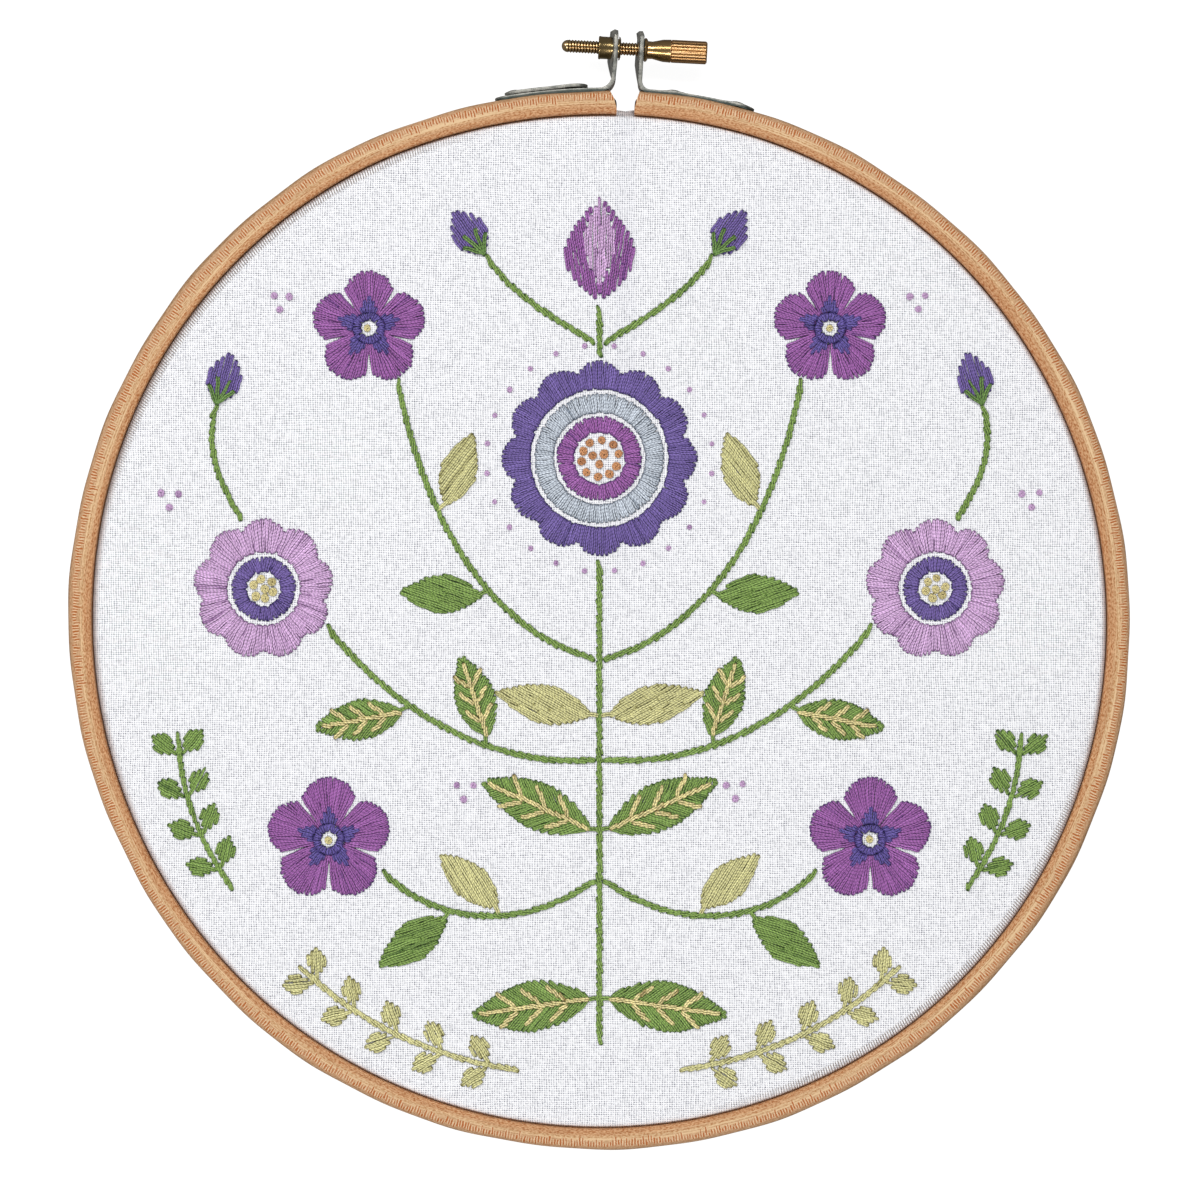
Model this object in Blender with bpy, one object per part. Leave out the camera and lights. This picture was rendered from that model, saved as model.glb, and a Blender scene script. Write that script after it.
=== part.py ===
"""An embroidered cloth stretched in a split wooden hoop, lying on its back with its face up.

The frame is +Z up, +Y towards the clamping screw, and the origin is the middle of the object's
footprint.  Everything is placed from the hoop's centre, which lies a little towards -Y of the origin
because the screw lugs stand out on the other side.  Sizes are in metres.
"""
from math import atan2, cos, exp, hypot, pi, radians, sin

import bmesh
import bpy
from mathutils import Matrix, Vector

MM = 0.001
GAP = 0.3 * MM              # air between neighbouring pieces

# Rings: a 20 cm hoop of bent beech strip
RING_STEPS = 72             # straight facets round a ring
OUTER_RING_OUTSIDE = 106.1 * MM
OUTER_RING_INSIDE = 101.6 * MM
OUTER_RING_BACK = 1.3 * MM
OUTER_RING_FRONT = 10.3 * MM
INNER_RING_INSIDE = 95.0 * MM
INNER_RING_FRONT = 8.2 * MM
FRONT_ROUND = 1.6 * MM      # rounded front edges of the outer ring
EDGE_BREAK = 0.8 * MM       # small chamfer on the other ring edges

# Cloth
CLOTH_THICKNESS = 1.0 * MM
CLOTH_FACE = INNER_RING_FRONT + GAP + CLOTH_THICKNESS
CLOTH_OUTSIDE = OUTER_RING_INSIDE - GAP
INNER_RING_OUTSIDE = CLOTH_OUTSIDE - CLOTH_THICKNESS - GAP
CLOTH_SHOULDER = 1.5 * MM   # rounding where the cloth turns over the inner ring
MARGIN_TURN = 1.2 * MM      # rounding where the cloth turns out behind the outer ring
MARGIN_REACH = 104.9 * MM   # where the trimmed edge lies when it stays hidden

# Places where the trimmed edge reaches past the rim, and the one at the split where it is cut
# short: angle from +X, half-width and reach
MARGIN_PEEKS = (
    {"angle": 90.0, "half_width": 2.2, "reach": 102.8 * MM},
    {"angle": 124.7, "half_width": 6.0, "reach": 106.9 * MM},
    {"angle": 233.3, "half_width": 3.0, "reach": 106.6 * MM},
    {"angle": 253.8, "half_width": 2.5, "reach": 106.5 * MM},
)

# Split in the outer ring and the steel brackets that close it
SPLIT_INSIDE = 3.6 * MM     # width of the split at the ring's inner face
SPLIT_OUTSIDE = 6.0 * MM    # width of the split at the ring's outer face
STEEL = 0.9 * MM            # thickness of the steel strip
STRIP_WIDTH = 7.0 * MM
STRIP_LENGTH = 26.0 * MM    # along the ring, from the middle of the split
LUG_SPACE = 4.4 * MM        # between the two lugs' inner faces
LUG_TOP = 12.0 * MM         # above the ring's outer face
LUG_BEND = 1.1 * MM         # middle-line radius of the bend from strip to lug
LUG_CORNER = 2.2 * MM
RIVET_PLACES = (9.6 * MM, 22.6 * MM)    # along the ring, from the middle of the split
RIVET_SHANK = 0.8 * MM
RIVET_HEAD = 1.5 * MM
RIVET_DOME = 0.5 * MM
RIVET_DEPTH = 2.4 * MM      # how far the shank goes into the wood

# Brass screw and nut, along +X from the middle of the split
SCREW_HEIGHT = 8.2 * MM     # axis above the ring's outer face
ROD = 1.3 * MM
ROD_TIP = -13.4 * MM
SHOULDER = 2.4 * MM
SHOULDER_LENGTH = 0.7 * MM
CONE_START = 1.75 * MM
GRIP = 2.3 * MM
GRIP_START = 8.6 * MM
GRIP_END = 15.8 * MM
GRIP_FLUTES = 14
FLUTE_DEPTH = 0.25 * MM
NUT_BARREL = 2.3 * MM
NUT_LENGTH = 2.6 * MM
NUT_NECK = 1.9 * MM
NUT_LIP = 2.4 * MM
NUT_LIP_LENGTH = 0.4 * MM

# Raised embroidery: generic spray, in millimetres from the hoop's centre, +Y up the design
DESIGN_TURN = radians(2.9)  # the screw was closed a little to one side of the design's top
PAD_RISE = 0.7 * MM
STEM_WIDTH = 1.3
STEMS = (
    {"name": "stem_main", "mirror": False, "points": ((0, -85), (0, -50), (0, -20), (0, 11.8))},
    {"name": "stem_top", "mirror": False, "points": ((0, 52.2), (0, 55), (0, 59), (0, 62.6))},
    {"name": "stem_up", "mirror": True, "points": ((1.2, -8), (18, -4), (34, 14), (40.2, 47.4))},
    {"name": "stem_mid", "mirror": True, "points": ((1.2, -28), (20, -30), (40, -20), (54, -1.8))},
    {"name": "stem_low", "mirror": True, "points": ((1.2, -52), (14, -62), (32, -62), (43, -50.9))},
    {"name": "stem_tip", "mirror": True, "points": ((1.2, 55), (9, 60), (17, 64), (22.6, 72))},
    {"name": "stem_side", "mirror": True, "points": ((71.6, 20.8), (76, 27), (79, 34), (76.6, 42))},
)
LEAVES = (
    {"stem": "stem_main", "at": 0.09, "lean": -98, "length": 25, "width": 10, "mirror": True},
    {"stem": "stem_main", "at": 0.43, "lean": -66, "length": 25, "width": 9.5, "mirror": True},
    {"stem": "stem_main", "at": 0.67, "lean": -76, "length": 20, "width": 7.5, "mirror": True},
    {"stem": "stem_up", "at": 0.44, "lean": -46, "length": 17, "width": 7.5, "mirror": True},
    {"stem": "stem_up", "at": 0.70, "lean": 46, "length": 16, "width": 7, "mirror": True},
    {"stem": "stem_mid", "at": 0.38, "lean": 52, "length": 18, "width": 8, "mirror": True},
    {"stem": "stem_mid", "at": 0.66, "lean": -46, "length": 19, "width": 8, "mirror": True},
    {"stem": "stem_low", "at": 0.44, "lean": 46, "length": 16, "width": 7, "mirror": True},
    {"stem": "stem_low", "at": 0.66, "lean": -50, "length": 17, "width": 7.5, "mirror": True},
)
FLOWERS = (
    {"name": "rosette_centre", "x": 0, "y": 32, "radius": 19.5, "petals": 12, "cut": 0.12,
     "thread": "violet", "mirror": False},
    {"name": "rosette_side", "x": 67, "y": 6, "radius": 14, "petals": 9, "cut": 0.14,
     "thread": "lilac", "mirror": True},
    {"name": "blossom_high", "x": 46, "y": 58, "radius": 11.5, "petals": 5, "cut": 0.30,
     "thread": "purple", "mirror": True},
    {"name": "blossom_low", "x": 54, "y": -44, "radius": 12.5, "petals": 5, "cut": 0.30,
     "thread": "purple", "mirror": True},
)
BUDS = (
    {"name": "tulip", "x": 0, "y": 63.4, "lean": 90, "length": 21, "width": 14,
     "thread": "purple", "mirror": False},
    {"name": "bud_tip", "x": 23, "y": 72.8, "lean": 55, "length": 11, "width": 7,
     "thread": "violet", "mirror": True},
    {"name": "bud_side", "x": 76.3, "y": 42.9, "lean": 106, "length": 11, "width": 7,
     "thread": "violet", "mirror": True},
)

# Colours of the finished materials, linear RGB
BEECH = (0.58, 0.33, 0.17)
LINEN = (0.84, 0.85, 0.88)
ZINC = (0.30, 0.31, 0.32)
BRASS = (0.60, 0.42, 0.18)
THREADS = {
    "violet": (0.115, 0.075, 0.330),
    "purple": (0.290, 0.070, 0.300),
    "lilac": (0.480, 0.290, 0.560),
    "green": (0.150, 0.290, 0.060),
}


def material(name, colour, roughness, metallic=0.0):
    """One Principled finish."""
    made = bpy.data.materials.new(name)
    made.use_nodes = True
    shader = made.node_tree.nodes["Principled BSDF"]
    shader.inputs["Base Color"].default_value = (*colour, 1.0)
    shader.inputs["Roughness"].default_value = roughness
    shader.inputs["Metallic"].default_value = metallic
    made.diffuse_color = (*colour, 1.0)
    return made


def piece(name, bm, finish, parent):
    """Turn a bmesh into a named, closed, outward-facing object under its parent empty."""
    bmesh.ops.remove_doubles(bm, verts=bm.verts, dist=0.005 * MM)
    bmesh.ops.recalc_face_normals(bm, faces=bm.faces)
    mesh = bpy.data.meshes.new(name)
    bm.to_mesh(mesh)
    bm.free()
    mesh.materials.append(finish)
    mesh.shade_smooth()
    mesh.set_sharp_from_angle(angle=radians(35))
    made = bpy.data.objects.new(name, mesh)
    made.parent = parent
    bpy.context.scene.collection.objects.link(made)
    return made


def empty(name, place, parent=None, turn=0.0):
    """A named point that pieces are placed from."""
    made = bpy.data.objects.new(name, None)
    made.location = place
    made.rotation_euler.z = turn
    made.parent = parent
    bpy.context.scene.collection.objects.link(made)
    return made


def cut(target, cutter_bm, name):
    """Take a closed cutter out of a piece."""
    mesh = bpy.data.meshes.new(name)
    bmesh.ops.recalc_face_normals(cutter_bm, faces=cutter_bm.faces)
    cutter_bm.to_mesh(mesh)
    cutter_bm.free()
    cutter = bpy.data.objects.new(name, mesh)
    cutter.parent = target.parent
    cutter.hide_render = True
    cutter.display_type = "WIRE"
    bpy.context.scene.collection.objects.link(cutter)
    modifier = target.modifiers.new(name, "BOOLEAN")
    modifier.operation = "DIFFERENCE"
    modifier.object = cutter


def quarter(centre, radius, start, steps):
    """Points of a quarter circle, turning clockwise from the start angle."""
    angles = [start - (pi / 2) * k / steps for k in range(steps + 1)]
    return [(centre[0] + radius * cos(a), centre[1] + radius * sin(a)) for a in angles]


def turned(section, steps, closed=True):
    """Spin a section of (radius, height) points about Z; an open one ends on the axis."""
    bm = bmesh.new()
    verts = [bm.verts.new((r, 0, z)) for r, z in section]
    pairs = list(zip(verts, verts[1:]))
    if closed:
        pairs.append((verts[-1], verts[0]))
    edges = [bm.edges.new(pair) for pair in pairs]
    bmesh.ops.spin(bm, geom=verts + edges, cent=(0, 0, 0), axis=(0, 0, 1), angle=2 * pi,
                   steps=steps, use_merge=True)
    bmesh.ops.remove_doubles(bm, verts=bm.verts, dist=0.001 * MM)
    return bm


def along_x(bm):
    """Lay a shape that was turned about Z down along +X."""
    bmesh.ops.rotate(bm, verts=bm.verts, cent=(0, 0, 0), matrix=Matrix.Rotation(pi / 2, 3, "Y"))
    return bm


def drill(radius, start, end, place, direction, sides=12):
    """A closed round cutter from start to end along a direction through a place."""
    bm = turned([(0, start), (radius, start), (radius, end), (0, end)], sides, closed=False)
    turn = Vector((0, 0, 1)).rotation_difference(Vector(direction)).to_matrix()
    bmesh.ops.rotate(bm, verts=bm.verts, cent=(0, 0, 0), matrix=turn)
    bmesh.ops.translate(bm, verts=bm.verts, vec=place)
    return bm


# ---------------------------------------------------------------------------- rings

def rivet_angles():
    """Angle of each rivet round the ring, with the side it is on."""
    for side in (-1, 1):
        for order, place in enumerate(RIVET_PLACES, start=1):
            yield side, order, pi / 2 - side * place / OUTER_RING_OUTSIDE


def outer_hoop(finish, parent):
    """Split ring with two rounded front edges, drilled for its four rivets."""
    inside, outside = OUTER_RING_INSIDE, OUTER_RING_OUTSIDE
    back, front, rounding = OUTER_RING_BACK, OUTER_RING_FRONT, FRONT_ROUND
    section = [(outside - EDGE_BREAK, back), (inside + EDGE_BREAK, back)]
    section += [(inside, back + EDGE_BREAK)]
    section += quarter((inside + rounding, front - rounding), rounding, pi, 3)
    section += quarter((outside - rounding, front - rounding), rounding, pi / 2, 3)
    section += [(outside, back + EDGE_BREAK)]
    ring = piece("outer_hoop", turned(section, RING_STEPS), finish, parent)

    wedge = bmesh.new()
    reach = 2 * MM
    slope = (SPLIT_OUTSIDE - SPLIT_INSIDE) / (outside - inside)
    near, far = inside - reach, outside + reach
    near_half = (SPLIT_INSIDE - slope * reach) / 2
    far_half = (SPLIT_OUTSIDE + slope * reach) / 2
    outline = ((-near_half, near), (near_half, near), (far_half, far), (-far_half, far))
    floor = wedge.faces.new([wedge.verts.new((x, y, 0)) for x, y in outline])
    raised = bmesh.ops.extrude_face_region(wedge, geom=[floor])["geom"]
    lifted = [v for v in raised if isinstance(v, bmesh.types.BMVert)]
    bmesh.ops.translate(wedge, verts=lifted, vec=(0, 0, front + reach))
    cut(ring, wedge, "split_cutter")

    for side, order, angle in rivet_angles():
        direction = (cos(angle), sin(angle), 0)
        bottom = outside - RIVET_DEPTH - GAP
        hole = drill(RIVET_SHANK + GAP, bottom, outside + reach, (0, 0, strip_middle()), direction)
        cut(ring, hole, f"rivet_hole_cutter_{side_name(side)}_{order}")


def inner_hoop(finish, parent):
    """Plain closed ring that the cloth is stretched over."""
    section = [(INNER_RING_INSIDE + EDGE_BREAK, 0), (INNER_RING_INSIDE, EDGE_BREAK),
               (INNER_RING_INSIDE, INNER_RING_FRONT - EDGE_BREAK),
               (INNER_RING_INSIDE + EDGE_BREAK, INNER_RING_FRONT)]
    section += quarter((INNER_RING_OUTSIDE - EDGE_BREAK, INNER_RING_FRONT - EDGE_BREAK),
                       EDGE_BREAK, pi / 2, 2)
    section += [(INNER_RING_OUTSIDE, EDGE_BREAK), (INNER_RING_OUTSIDE - EDGE_BREAK, 0)]
    piece("inner_hoop", turned(section, RING_STEPS), finish, parent)


# ---------------------------------------------------------------------------- cloth

def margin_reach(angle):
    """How far out the trimmed edge lies at an angle round the hoop, in degrees."""
    reach = MARGIN_REACH
    for peek in MARGIN_PEEKS:
        off = (angle - peek["angle"] + 180) % 360 - 180
        reach += (peek["reach"] - MARGIN_REACH) * exp(-(off / peek["half_width"]) ** 2)
    return reach


def cloth(finish, parent):
    """One sheet: face, shoulder, wall between the rings, and margin turned out at the back."""
    under = CLOTH_FACE - CLOTH_THICKNESS
    inside = CLOTH_OUTSIDE - CLOTH_THICKNESS
    inner_shoulder = CLOTH_SHOULDER - CLOTH_THICKNESS
    section = [(0, CLOTH_FACE), (55 * MM, CLOTH_FACE)]
    section += quarter((CLOTH_OUTSIDE - CLOTH_SHOULDER, CLOTH_FACE - CLOTH_SHOULDER),
                       CLOTH_SHOULDER, pi / 2, 3)
    section += [(CLOTH_OUTSIDE, CLOTH_THICKNESS + MARGIN_TURN),
                (CLOTH_OUTSIDE + MARGIN_TURN, CLOTH_THICKNESS),
                (MARGIN_REACH, CLOTH_THICKNESS), (MARGIN_REACH, 0),
                (inside + MARGIN_TURN, 0), (inside, MARGIN_TURN)]
    section += [(inside, under - inner_shoulder), (inside - inner_shoulder, under)]
    section += [(0, under)]
    bm = turned(section, RING_STEPS, closed=False)
    for vert in bm.verts:
        flat = hypot(vert.co.x, vert.co.y)
        if flat > MARGIN_REACH - 0.01 * MM:
            reach = margin_reach(atan2(vert.co.y, vert.co.x) * 180 / pi)
            vert.co.x *= reach / flat
            vert.co.y *= reach / flat
    piece("cloth", bm, finish, parent)


# ---------------------------------------------------------------------------- steel brackets

def side_name(side):
    return "right" if side > 0 else "left"


def strip_middle():
    """Height of the middle of the steel strips and of the screw."""
    return (OUTER_RING_BACK + OUTER_RING_FRONT) / 2


def bracket_path(side):
    """Middle line of a bracket, from its far end along the ring and up the lug."""
    radius = OUTER_RING_OUTSIDE + GAP + STEEL / 2
    lug_x = LUG_SPACE / 2 + STEEL / 2
    far = STRIP_LENGTH / radius
    near = (lug_x + LUG_BEND) / radius
    arc = [far + (near - far) * k / 8 for k in range(9)]
    path = [(radius * sin(a), radius * cos(a)) for a in arc]
    bend_y = path[-1][1] + LUG_BEND
    for k in (1, 2, 3):
        a = -pi / 2 - (pi / 2) * k / 3
        path.append((lug_x + LUG_BEND + LUG_BEND * cos(a), bend_y + LUG_BEND * sin(a)))
    path.append((lug_x, OUTER_RING_OUTSIDE + SCREW_HEIGHT))
    path.append((lug_x, OUTER_RING_OUTSIDE + LUG_TOP))
    return [(side * x, y) for x, y in path]


def bracket(side, finish, parent):
    """Bent steel strip riveted to the ring, its end turned up as a lug for the screw."""
    path = [Vector(point) for point in bracket_path(side)]
    bm = bmesh.new()
    rows = []
    for index, point in enumerate(path):
        before, after = path[max(index - 1, 0)], path[min(index + 1, len(path) - 1)]
        along = (after - before).normalized()
        across = Vector((-along.y, along.x)) * STEEL / 2
        corners = ((point + across, -1), (point + across, 1), (point - across, 1), (point - across, -1))
        rows.append([bm.verts.new((p.x, p.y, strip_middle() + h * STRIP_WIDTH / 2)) for p, h in corners])
    for low, high in zip(rows, rows[1:]):
        for k in range(4):
            bm.faces.new((low[k], low[(k + 1) % 4], high[(k + 1) % 4], high[k]))
    bm.faces.new(rows[0])
    bm.faces.new(reversed(rows[-1]))
    corner_edges = []
    for row in (rows[0], rows[-1]):
        corner_edges += [bm.edges.get((row[0], row[3])), bm.edges.get((row[1], row[2]))]
    bmesh.ops.bevel(bm, geom=corner_edges, offset=LUG_CORNER, segments=4, profile=0.5,
                    affect="EDGES", clamp_overlap=True)
    made = piece(f"bracket_{side_name(side)}", bm, finish, parent)

    screw_y = OUTER_RING_OUTSIDE + SCREW_HEIGHT
    hole = ROD + GAP if side > 0 else NUT_NECK + GAP
    screw_hole = drill(hole, -2 * MM, 2 * MM, (side * LUG_SPACE / 2, screw_y, strip_middle()),
                       (1, 0, 0), sides=16)
    cut(made, screw_hole, f"screw_hole_cutter_{side_name(side)}")
    for rivet_side, order, angle in rivet_angles():
        if rivet_side == side:
            direction = (cos(angle), sin(angle), 0)
            start = OUTER_RING_OUTSIDE - MM
            hole = drill(RIVET_SHANK + GAP, start, start + 4 * MM, (0, 0, strip_middle()), direction)
            cut(made, hole, f"strip_hole_cutter_{side_name(side)}_{order}")


def rivets(finish, parent):
    """Domed rivets that hold the strips, their shanks going into the wood."""
    seat = OUTER_RING_OUTSIDE + GAP + STEEL + GAP
    tip = OUTER_RING_OUTSIDE - RIVET_DEPTH
    section = [(0, tip), (RIVET_SHANK, tip), (RIVET_SHANK, seat), (RIVET_HEAD, seat)]
    section += [(RIVET_HEAD * 0.72, seat + RIVET_DOME * 0.75), (0, seat + RIVET_DOME)]
    for side, order, angle in rivet_angles():
        bm = turned(section, 12, closed=False)
        turn = Vector((0, 0, 1)).rotation_difference(Vector((cos(angle), sin(angle), 0))).to_matrix()
        bmesh.ops.rotate(bm, verts=bm.verts, cent=(0, 0, 0), matrix=turn)
        made = piece(f"rivet_{side_name(side)}_{order}", bm, finish, parent)
        made.location.z = strip_middle()


# ---------------------------------------------------------------------------- screw and nut

def screw(finish, axis_empty):
    """Turned brass screw: rod, shoulder against the right lug, cone and fluted grip."""
    start = LUG_SPACE / 2 + STEEL + GAP
    cone = start + SHOULDER_LENGTH
    section = [(0, ROD_TIP), (ROD * 0.6, ROD_TIP), (ROD, ROD_TIP + 0.7 * MM), (ROD, start)]
    section += [(SHOULDER, start), (SHOULDER, cone), (CONE_START, cone), (GRIP * 0.97, GRIP_START)]
    section += [(GRIP, GRIP_START + 0.3 * MM), (GRIP, GRIP_END - 0.4 * MM)]
    section += [(GRIP * 0.82, GRIP_END), (0, GRIP_END)]
    bm = turned(section, 2 * GRIP_FLUTES, closed=False)
    for vert in bm.verts:
        column = round(atan2(vert.co.y, vert.co.x) / (pi / GRIP_FLUTES))
        if column % 2 and vert.co.z > GRIP_START and hypot(vert.co.x, vert.co.y) > GRIP * 0.9:
            vert.co.x *= 1 - FLUTE_DEPTH / GRIP
            vert.co.y *= 1 - FLUTE_DEPTH / GRIP
    piece("screw", along_x(bm), finish, axis_empty)


def nut(finish, axis_empty):
    """Threaded barrel set in the left lug, with a clenched lip on the lug's inner side."""
    lip_end = -LUG_SPACE / 2 + GAP + NUT_LIP_LENGTH
    lip = -LUG_SPACE / 2 + GAP
    barrel = -LUG_SPACE / 2 - STEEL - GAP
    bore = ROD + GAP
    section = [(bore, barrel - NUT_LENGTH), (bore, lip_end), (NUT_LIP, lip_end), (NUT_LIP, lip)]
    section += [(NUT_NECK, lip), (NUT_NECK, barrel), (NUT_BARREL * 0.93, barrel)]
    section += [(NUT_BARREL, barrel - NUT_LENGTH)]
    piece("nut", along_x(turned(section, 20)), finish, axis_empty)


# ---------------------------------------------------------------------------- raised embroidery

def pad(name, outline, finish, parent, crown=0.55):
    """A low cushion of stitches: an outline raised, drawn in once and closed to its middle."""
    middle = sum((Vector(point) for point in outline), Vector((0, 0))) / len(outline)
    base = CLOTH_FACE + GAP
    levels = ((1.0, base), (1.0, base + PAD_RISE * 0.5), (crown, base + PAD_RISE))
    bm = bmesh.new()
    rings = []
    for scale, height in levels:
        spread = [middle + (Vector(point) - middle) * scale for point in outline]
        rings.append([bm.verts.new((p.x * MM, p.y * MM, height)) for p in spread])
    count = len(outline)
    for low, high in zip(rings, rings[1:]):
        for k in range(count):
            bm.faces.new((low[k], low[(k + 1) % count], high[(k + 1) % count], high[k]))
    for ring, height in ((rings[0], base), (rings[-1], base + PAD_RISE)):
        centre = bm.verts.new((middle.x * MM, middle.y * MM, height))
        for k in range(count):
            bm.faces.new((ring[k], ring[(k + 1) % count], centre))
    piece(name, bm, finish, parent)


def bezier(points, t):
    """Place and heading (degrees) on a cubic curve."""
    a, b, c, d = (Vector(point) for point in points)
    place = a * (1 - t) ** 3 + b * 3 * t * (1 - t) ** 2 + c * 3 * t * t * (1 - t) + d * t ** 3
    slope = (b - a) * (1 - t) ** 2 + (c - b) * 2 * t * (1 - t) + (d - c) * t * t
    return place, atan2(slope.y, slope.x) * 180 / pi


def mirrored(outline, side):
    return [(side * x, y) for x, y in outline]


def copies(row):
    """Name ending and side of each copy of a table row."""
    return (("_right", 1), ("_left", -1)) if row["mirror"] else (("", 1),)


def stem_outline(row, steps=12):
    """Both edges of a stem of constant width."""
    left, right = [], []
    for k in range(steps + 1):
        place, heading = bezier(row["points"], k / steps)
        across = Vector((-sin(radians(heading)), cos(radians(heading)))) * STEM_WIDTH / 2
        left.append(tuple(place + across))
        right.append(tuple(place - across))
    return left, right


def stem(name, row, side, finish, parent):
    """A corded line of stitches: a ridge between two low edges."""
    left, right = stem_outline(row)
    base = CLOTH_FACE + GAP
    bm = bmesh.new()
    rows = []
    for a, b in zip(mirrored(left, side), mirrored(right, side)):
        ridge = ((a[0] + b[0]) / 2, (a[1] + b[1]) / 2)
        shape = ((a, base), (a, base + PAD_RISE * 0.5), (ridge, base + PAD_RISE),
                 (b, base + PAD_RISE * 0.5), (b, base))
        rows.append([bm.verts.new((p[0] * MM, p[1] * MM, height)) for p, height in shape])
    for low, high in zip(rows, rows[1:]):
        for k in range(5):
            bm.faces.new((low[k], low[(k + 1) % 5], high[(k + 1) % 5], high[k]))
    bm.faces.new(rows[0])
    bm.faces.new(reversed(rows[-1]))
    piece(name, bm, finish, parent)


def drop_outline(place, heading, length, width, fullest, points=7):
    """Almond from its base to its tip; fullest is where along it the widest place lies."""
    axis = Vector((cos(radians(heading)), sin(radians(heading))))
    across = Vector((-axis.y, axis.x))
    upper, lower = [], []
    for k in range(1, points):
        along = k / points
        bulge = sin(pi * along ** (1 / (2 * (1 - fullest)))) * width / 2
        spot = Vector(place) + axis * along * length
        upper.append(tuple(spot + across * bulge))
        lower.append(tuple(spot - across * bulge))
    tip = tuple(Vector(place) + axis * length)
    return [tuple(place)] + lower + [tip] + upper[::-1]


def flower_outline(row, points=6):
    """Scalloped circle: rounded petals with a notch between each pair."""
    count = points * row["petals"]
    outline = []
    for k in range(count):
        round_petal = abs(cos(pi * k / points)) ** 0.7
        radius = row["radius"] * (1 - row["cut"] * (1 - round_petal))
        angle = pi / 2 + 2 * pi * k / count
        outline.append((row["x"] + radius * cos(angle), row["y"] + radius * sin(angle)))
    return outline


def embroidery(finishes, parent):
    """Every raised motif as its own low solid, a hair above the cloth's face."""
    stems = {row["name"]: row for row in STEMS}
    for row in STEMS:
        for ending, side in copies(row):
            stem(row["name"] + ending, row, side, finishes["green"], parent)
    for order, row in enumerate(LEAVES, start=1):
        place, heading = bezier(stems[row["stem"]]["points"], row["at"])
        turn = 1 if row["lean"] > 0 else -1
        start_lean = radians(heading + turn * 90)
        clear = STEM_WIDTH / 2 + 0.9
        start = place + Vector((cos(start_lean), sin(start_lean))) * clear
        outline = drop_outline(start, heading + row["lean"], row["length"], row["width"], 0.45)
        for ending, side in copies(row):
            pad(f"leaf_{order}{ending}", mirrored(outline, side), finishes["green"], parent)
    for row in FLOWERS:
        for ending, side in copies(row):
            pad(row["name"] + ending, mirrored(flower_outline(row), side),
                finishes[row["thread"]], parent, crown=0.45)
    for row in BUDS:
        outline = drop_outline((row["x"], row["y"]), row["lean"], row["length"], row["width"], 0.42)
        for ending, side in copies(row):
            pad(row["name"] + ending, mirrored(outline, side), finishes[row["thread"]], parent)


# ---------------------------------------------------------------------------- assembly

for old in list(bpy.data.objects):
    bpy.data.objects.remove(old)

wood = material("beech", BEECH, 0.55)
linen = material("cloth", LINEN, 0.95)
steel = material("steel", ZINC, 0.40, metallic=1.0)
brass = material("brass", BRASS, 0.35, metallic=1.0)
threads = {name: material(f"thread_{name}", colour, 0.6) for name, colour in THREADS.items()}

hoop_centre = empty("hoop_centre", (0, -(LUG_TOP / 2), 0))
design_centre = empty("design_centre", (0, 0, 0), hoop_centre, DESIGN_TURN)
screw_axis = empty("screw_axis", (0, OUTER_RING_OUTSIDE + SCREW_HEIGHT, strip_middle()), hoop_centre)

outer_hoop(wood, hoop_centre)
inner_hoop(wood, hoop_centre)
cloth(linen, hoop_centre)
bracket(-1, steel, hoop_centre)
bracket(1, steel, hoop_centre)
rivets(steel, hoop_centre)
nut(brass, screw_axis)
screw(brass, screw_axis)
embroidery(threads, design_centre)
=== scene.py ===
from functools import partial, partialmethod
from math import asin, atan2, copysign, cos, exp, hypot, pi, radians, sin, sqrt

import bpy
import numpy as np
from mathutils import Matrix, Vector


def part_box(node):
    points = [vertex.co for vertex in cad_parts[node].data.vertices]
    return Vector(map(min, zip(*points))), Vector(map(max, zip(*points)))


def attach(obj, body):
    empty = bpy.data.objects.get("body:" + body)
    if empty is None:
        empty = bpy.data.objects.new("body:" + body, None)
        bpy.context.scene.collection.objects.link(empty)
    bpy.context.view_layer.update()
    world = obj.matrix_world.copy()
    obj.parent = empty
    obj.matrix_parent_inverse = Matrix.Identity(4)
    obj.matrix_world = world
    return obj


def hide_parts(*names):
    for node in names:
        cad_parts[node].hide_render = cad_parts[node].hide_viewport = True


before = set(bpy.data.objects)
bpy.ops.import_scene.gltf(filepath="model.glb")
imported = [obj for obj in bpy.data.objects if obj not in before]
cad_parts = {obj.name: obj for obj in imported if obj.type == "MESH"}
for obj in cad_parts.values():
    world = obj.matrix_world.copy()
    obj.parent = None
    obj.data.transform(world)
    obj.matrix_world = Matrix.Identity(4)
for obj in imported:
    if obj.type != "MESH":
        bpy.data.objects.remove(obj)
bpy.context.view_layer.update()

MM = 0.001

# ---------------------------------------------------------------- camera, floor and light
# The finished hoop is pictured lying on its back on a white table, from straight above.
# It was put down turned a little clockwise, so the camera is rolled to match.
hoop_low, hoop_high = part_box("outer_hoop")
HOOP_OUTSIDE = (hoop_high.x - hoop_low.x) / 2
HOOP_CENTRE = Vector((0, hoop_low.y + HOOP_OUTSIDE, 0))
AT_CENTRE = Matrix.Translation(HOOP_CENTRE)
HOOP_FRONT = hoop_high.z
HOOP_TURN = radians(2.9)
PICTURE_SIZE = 1200
HOOP_RADIUS_PX = 532.2
HOOP_CENTRE_PX = (599.5, 618.9)
LENS = 135.0
SENSOR = 36.0
LIGHT_ANGLE = radians(31)       # of the two long lights, off the camera's axis
LIGHT_DISTANCE = 1.15
light_y, light_z = LIGHT_DISTANCE * sin(LIGHT_ANGLE), LIGHT_DISTANCE * cos(LIGHT_ANGLE)
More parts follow.
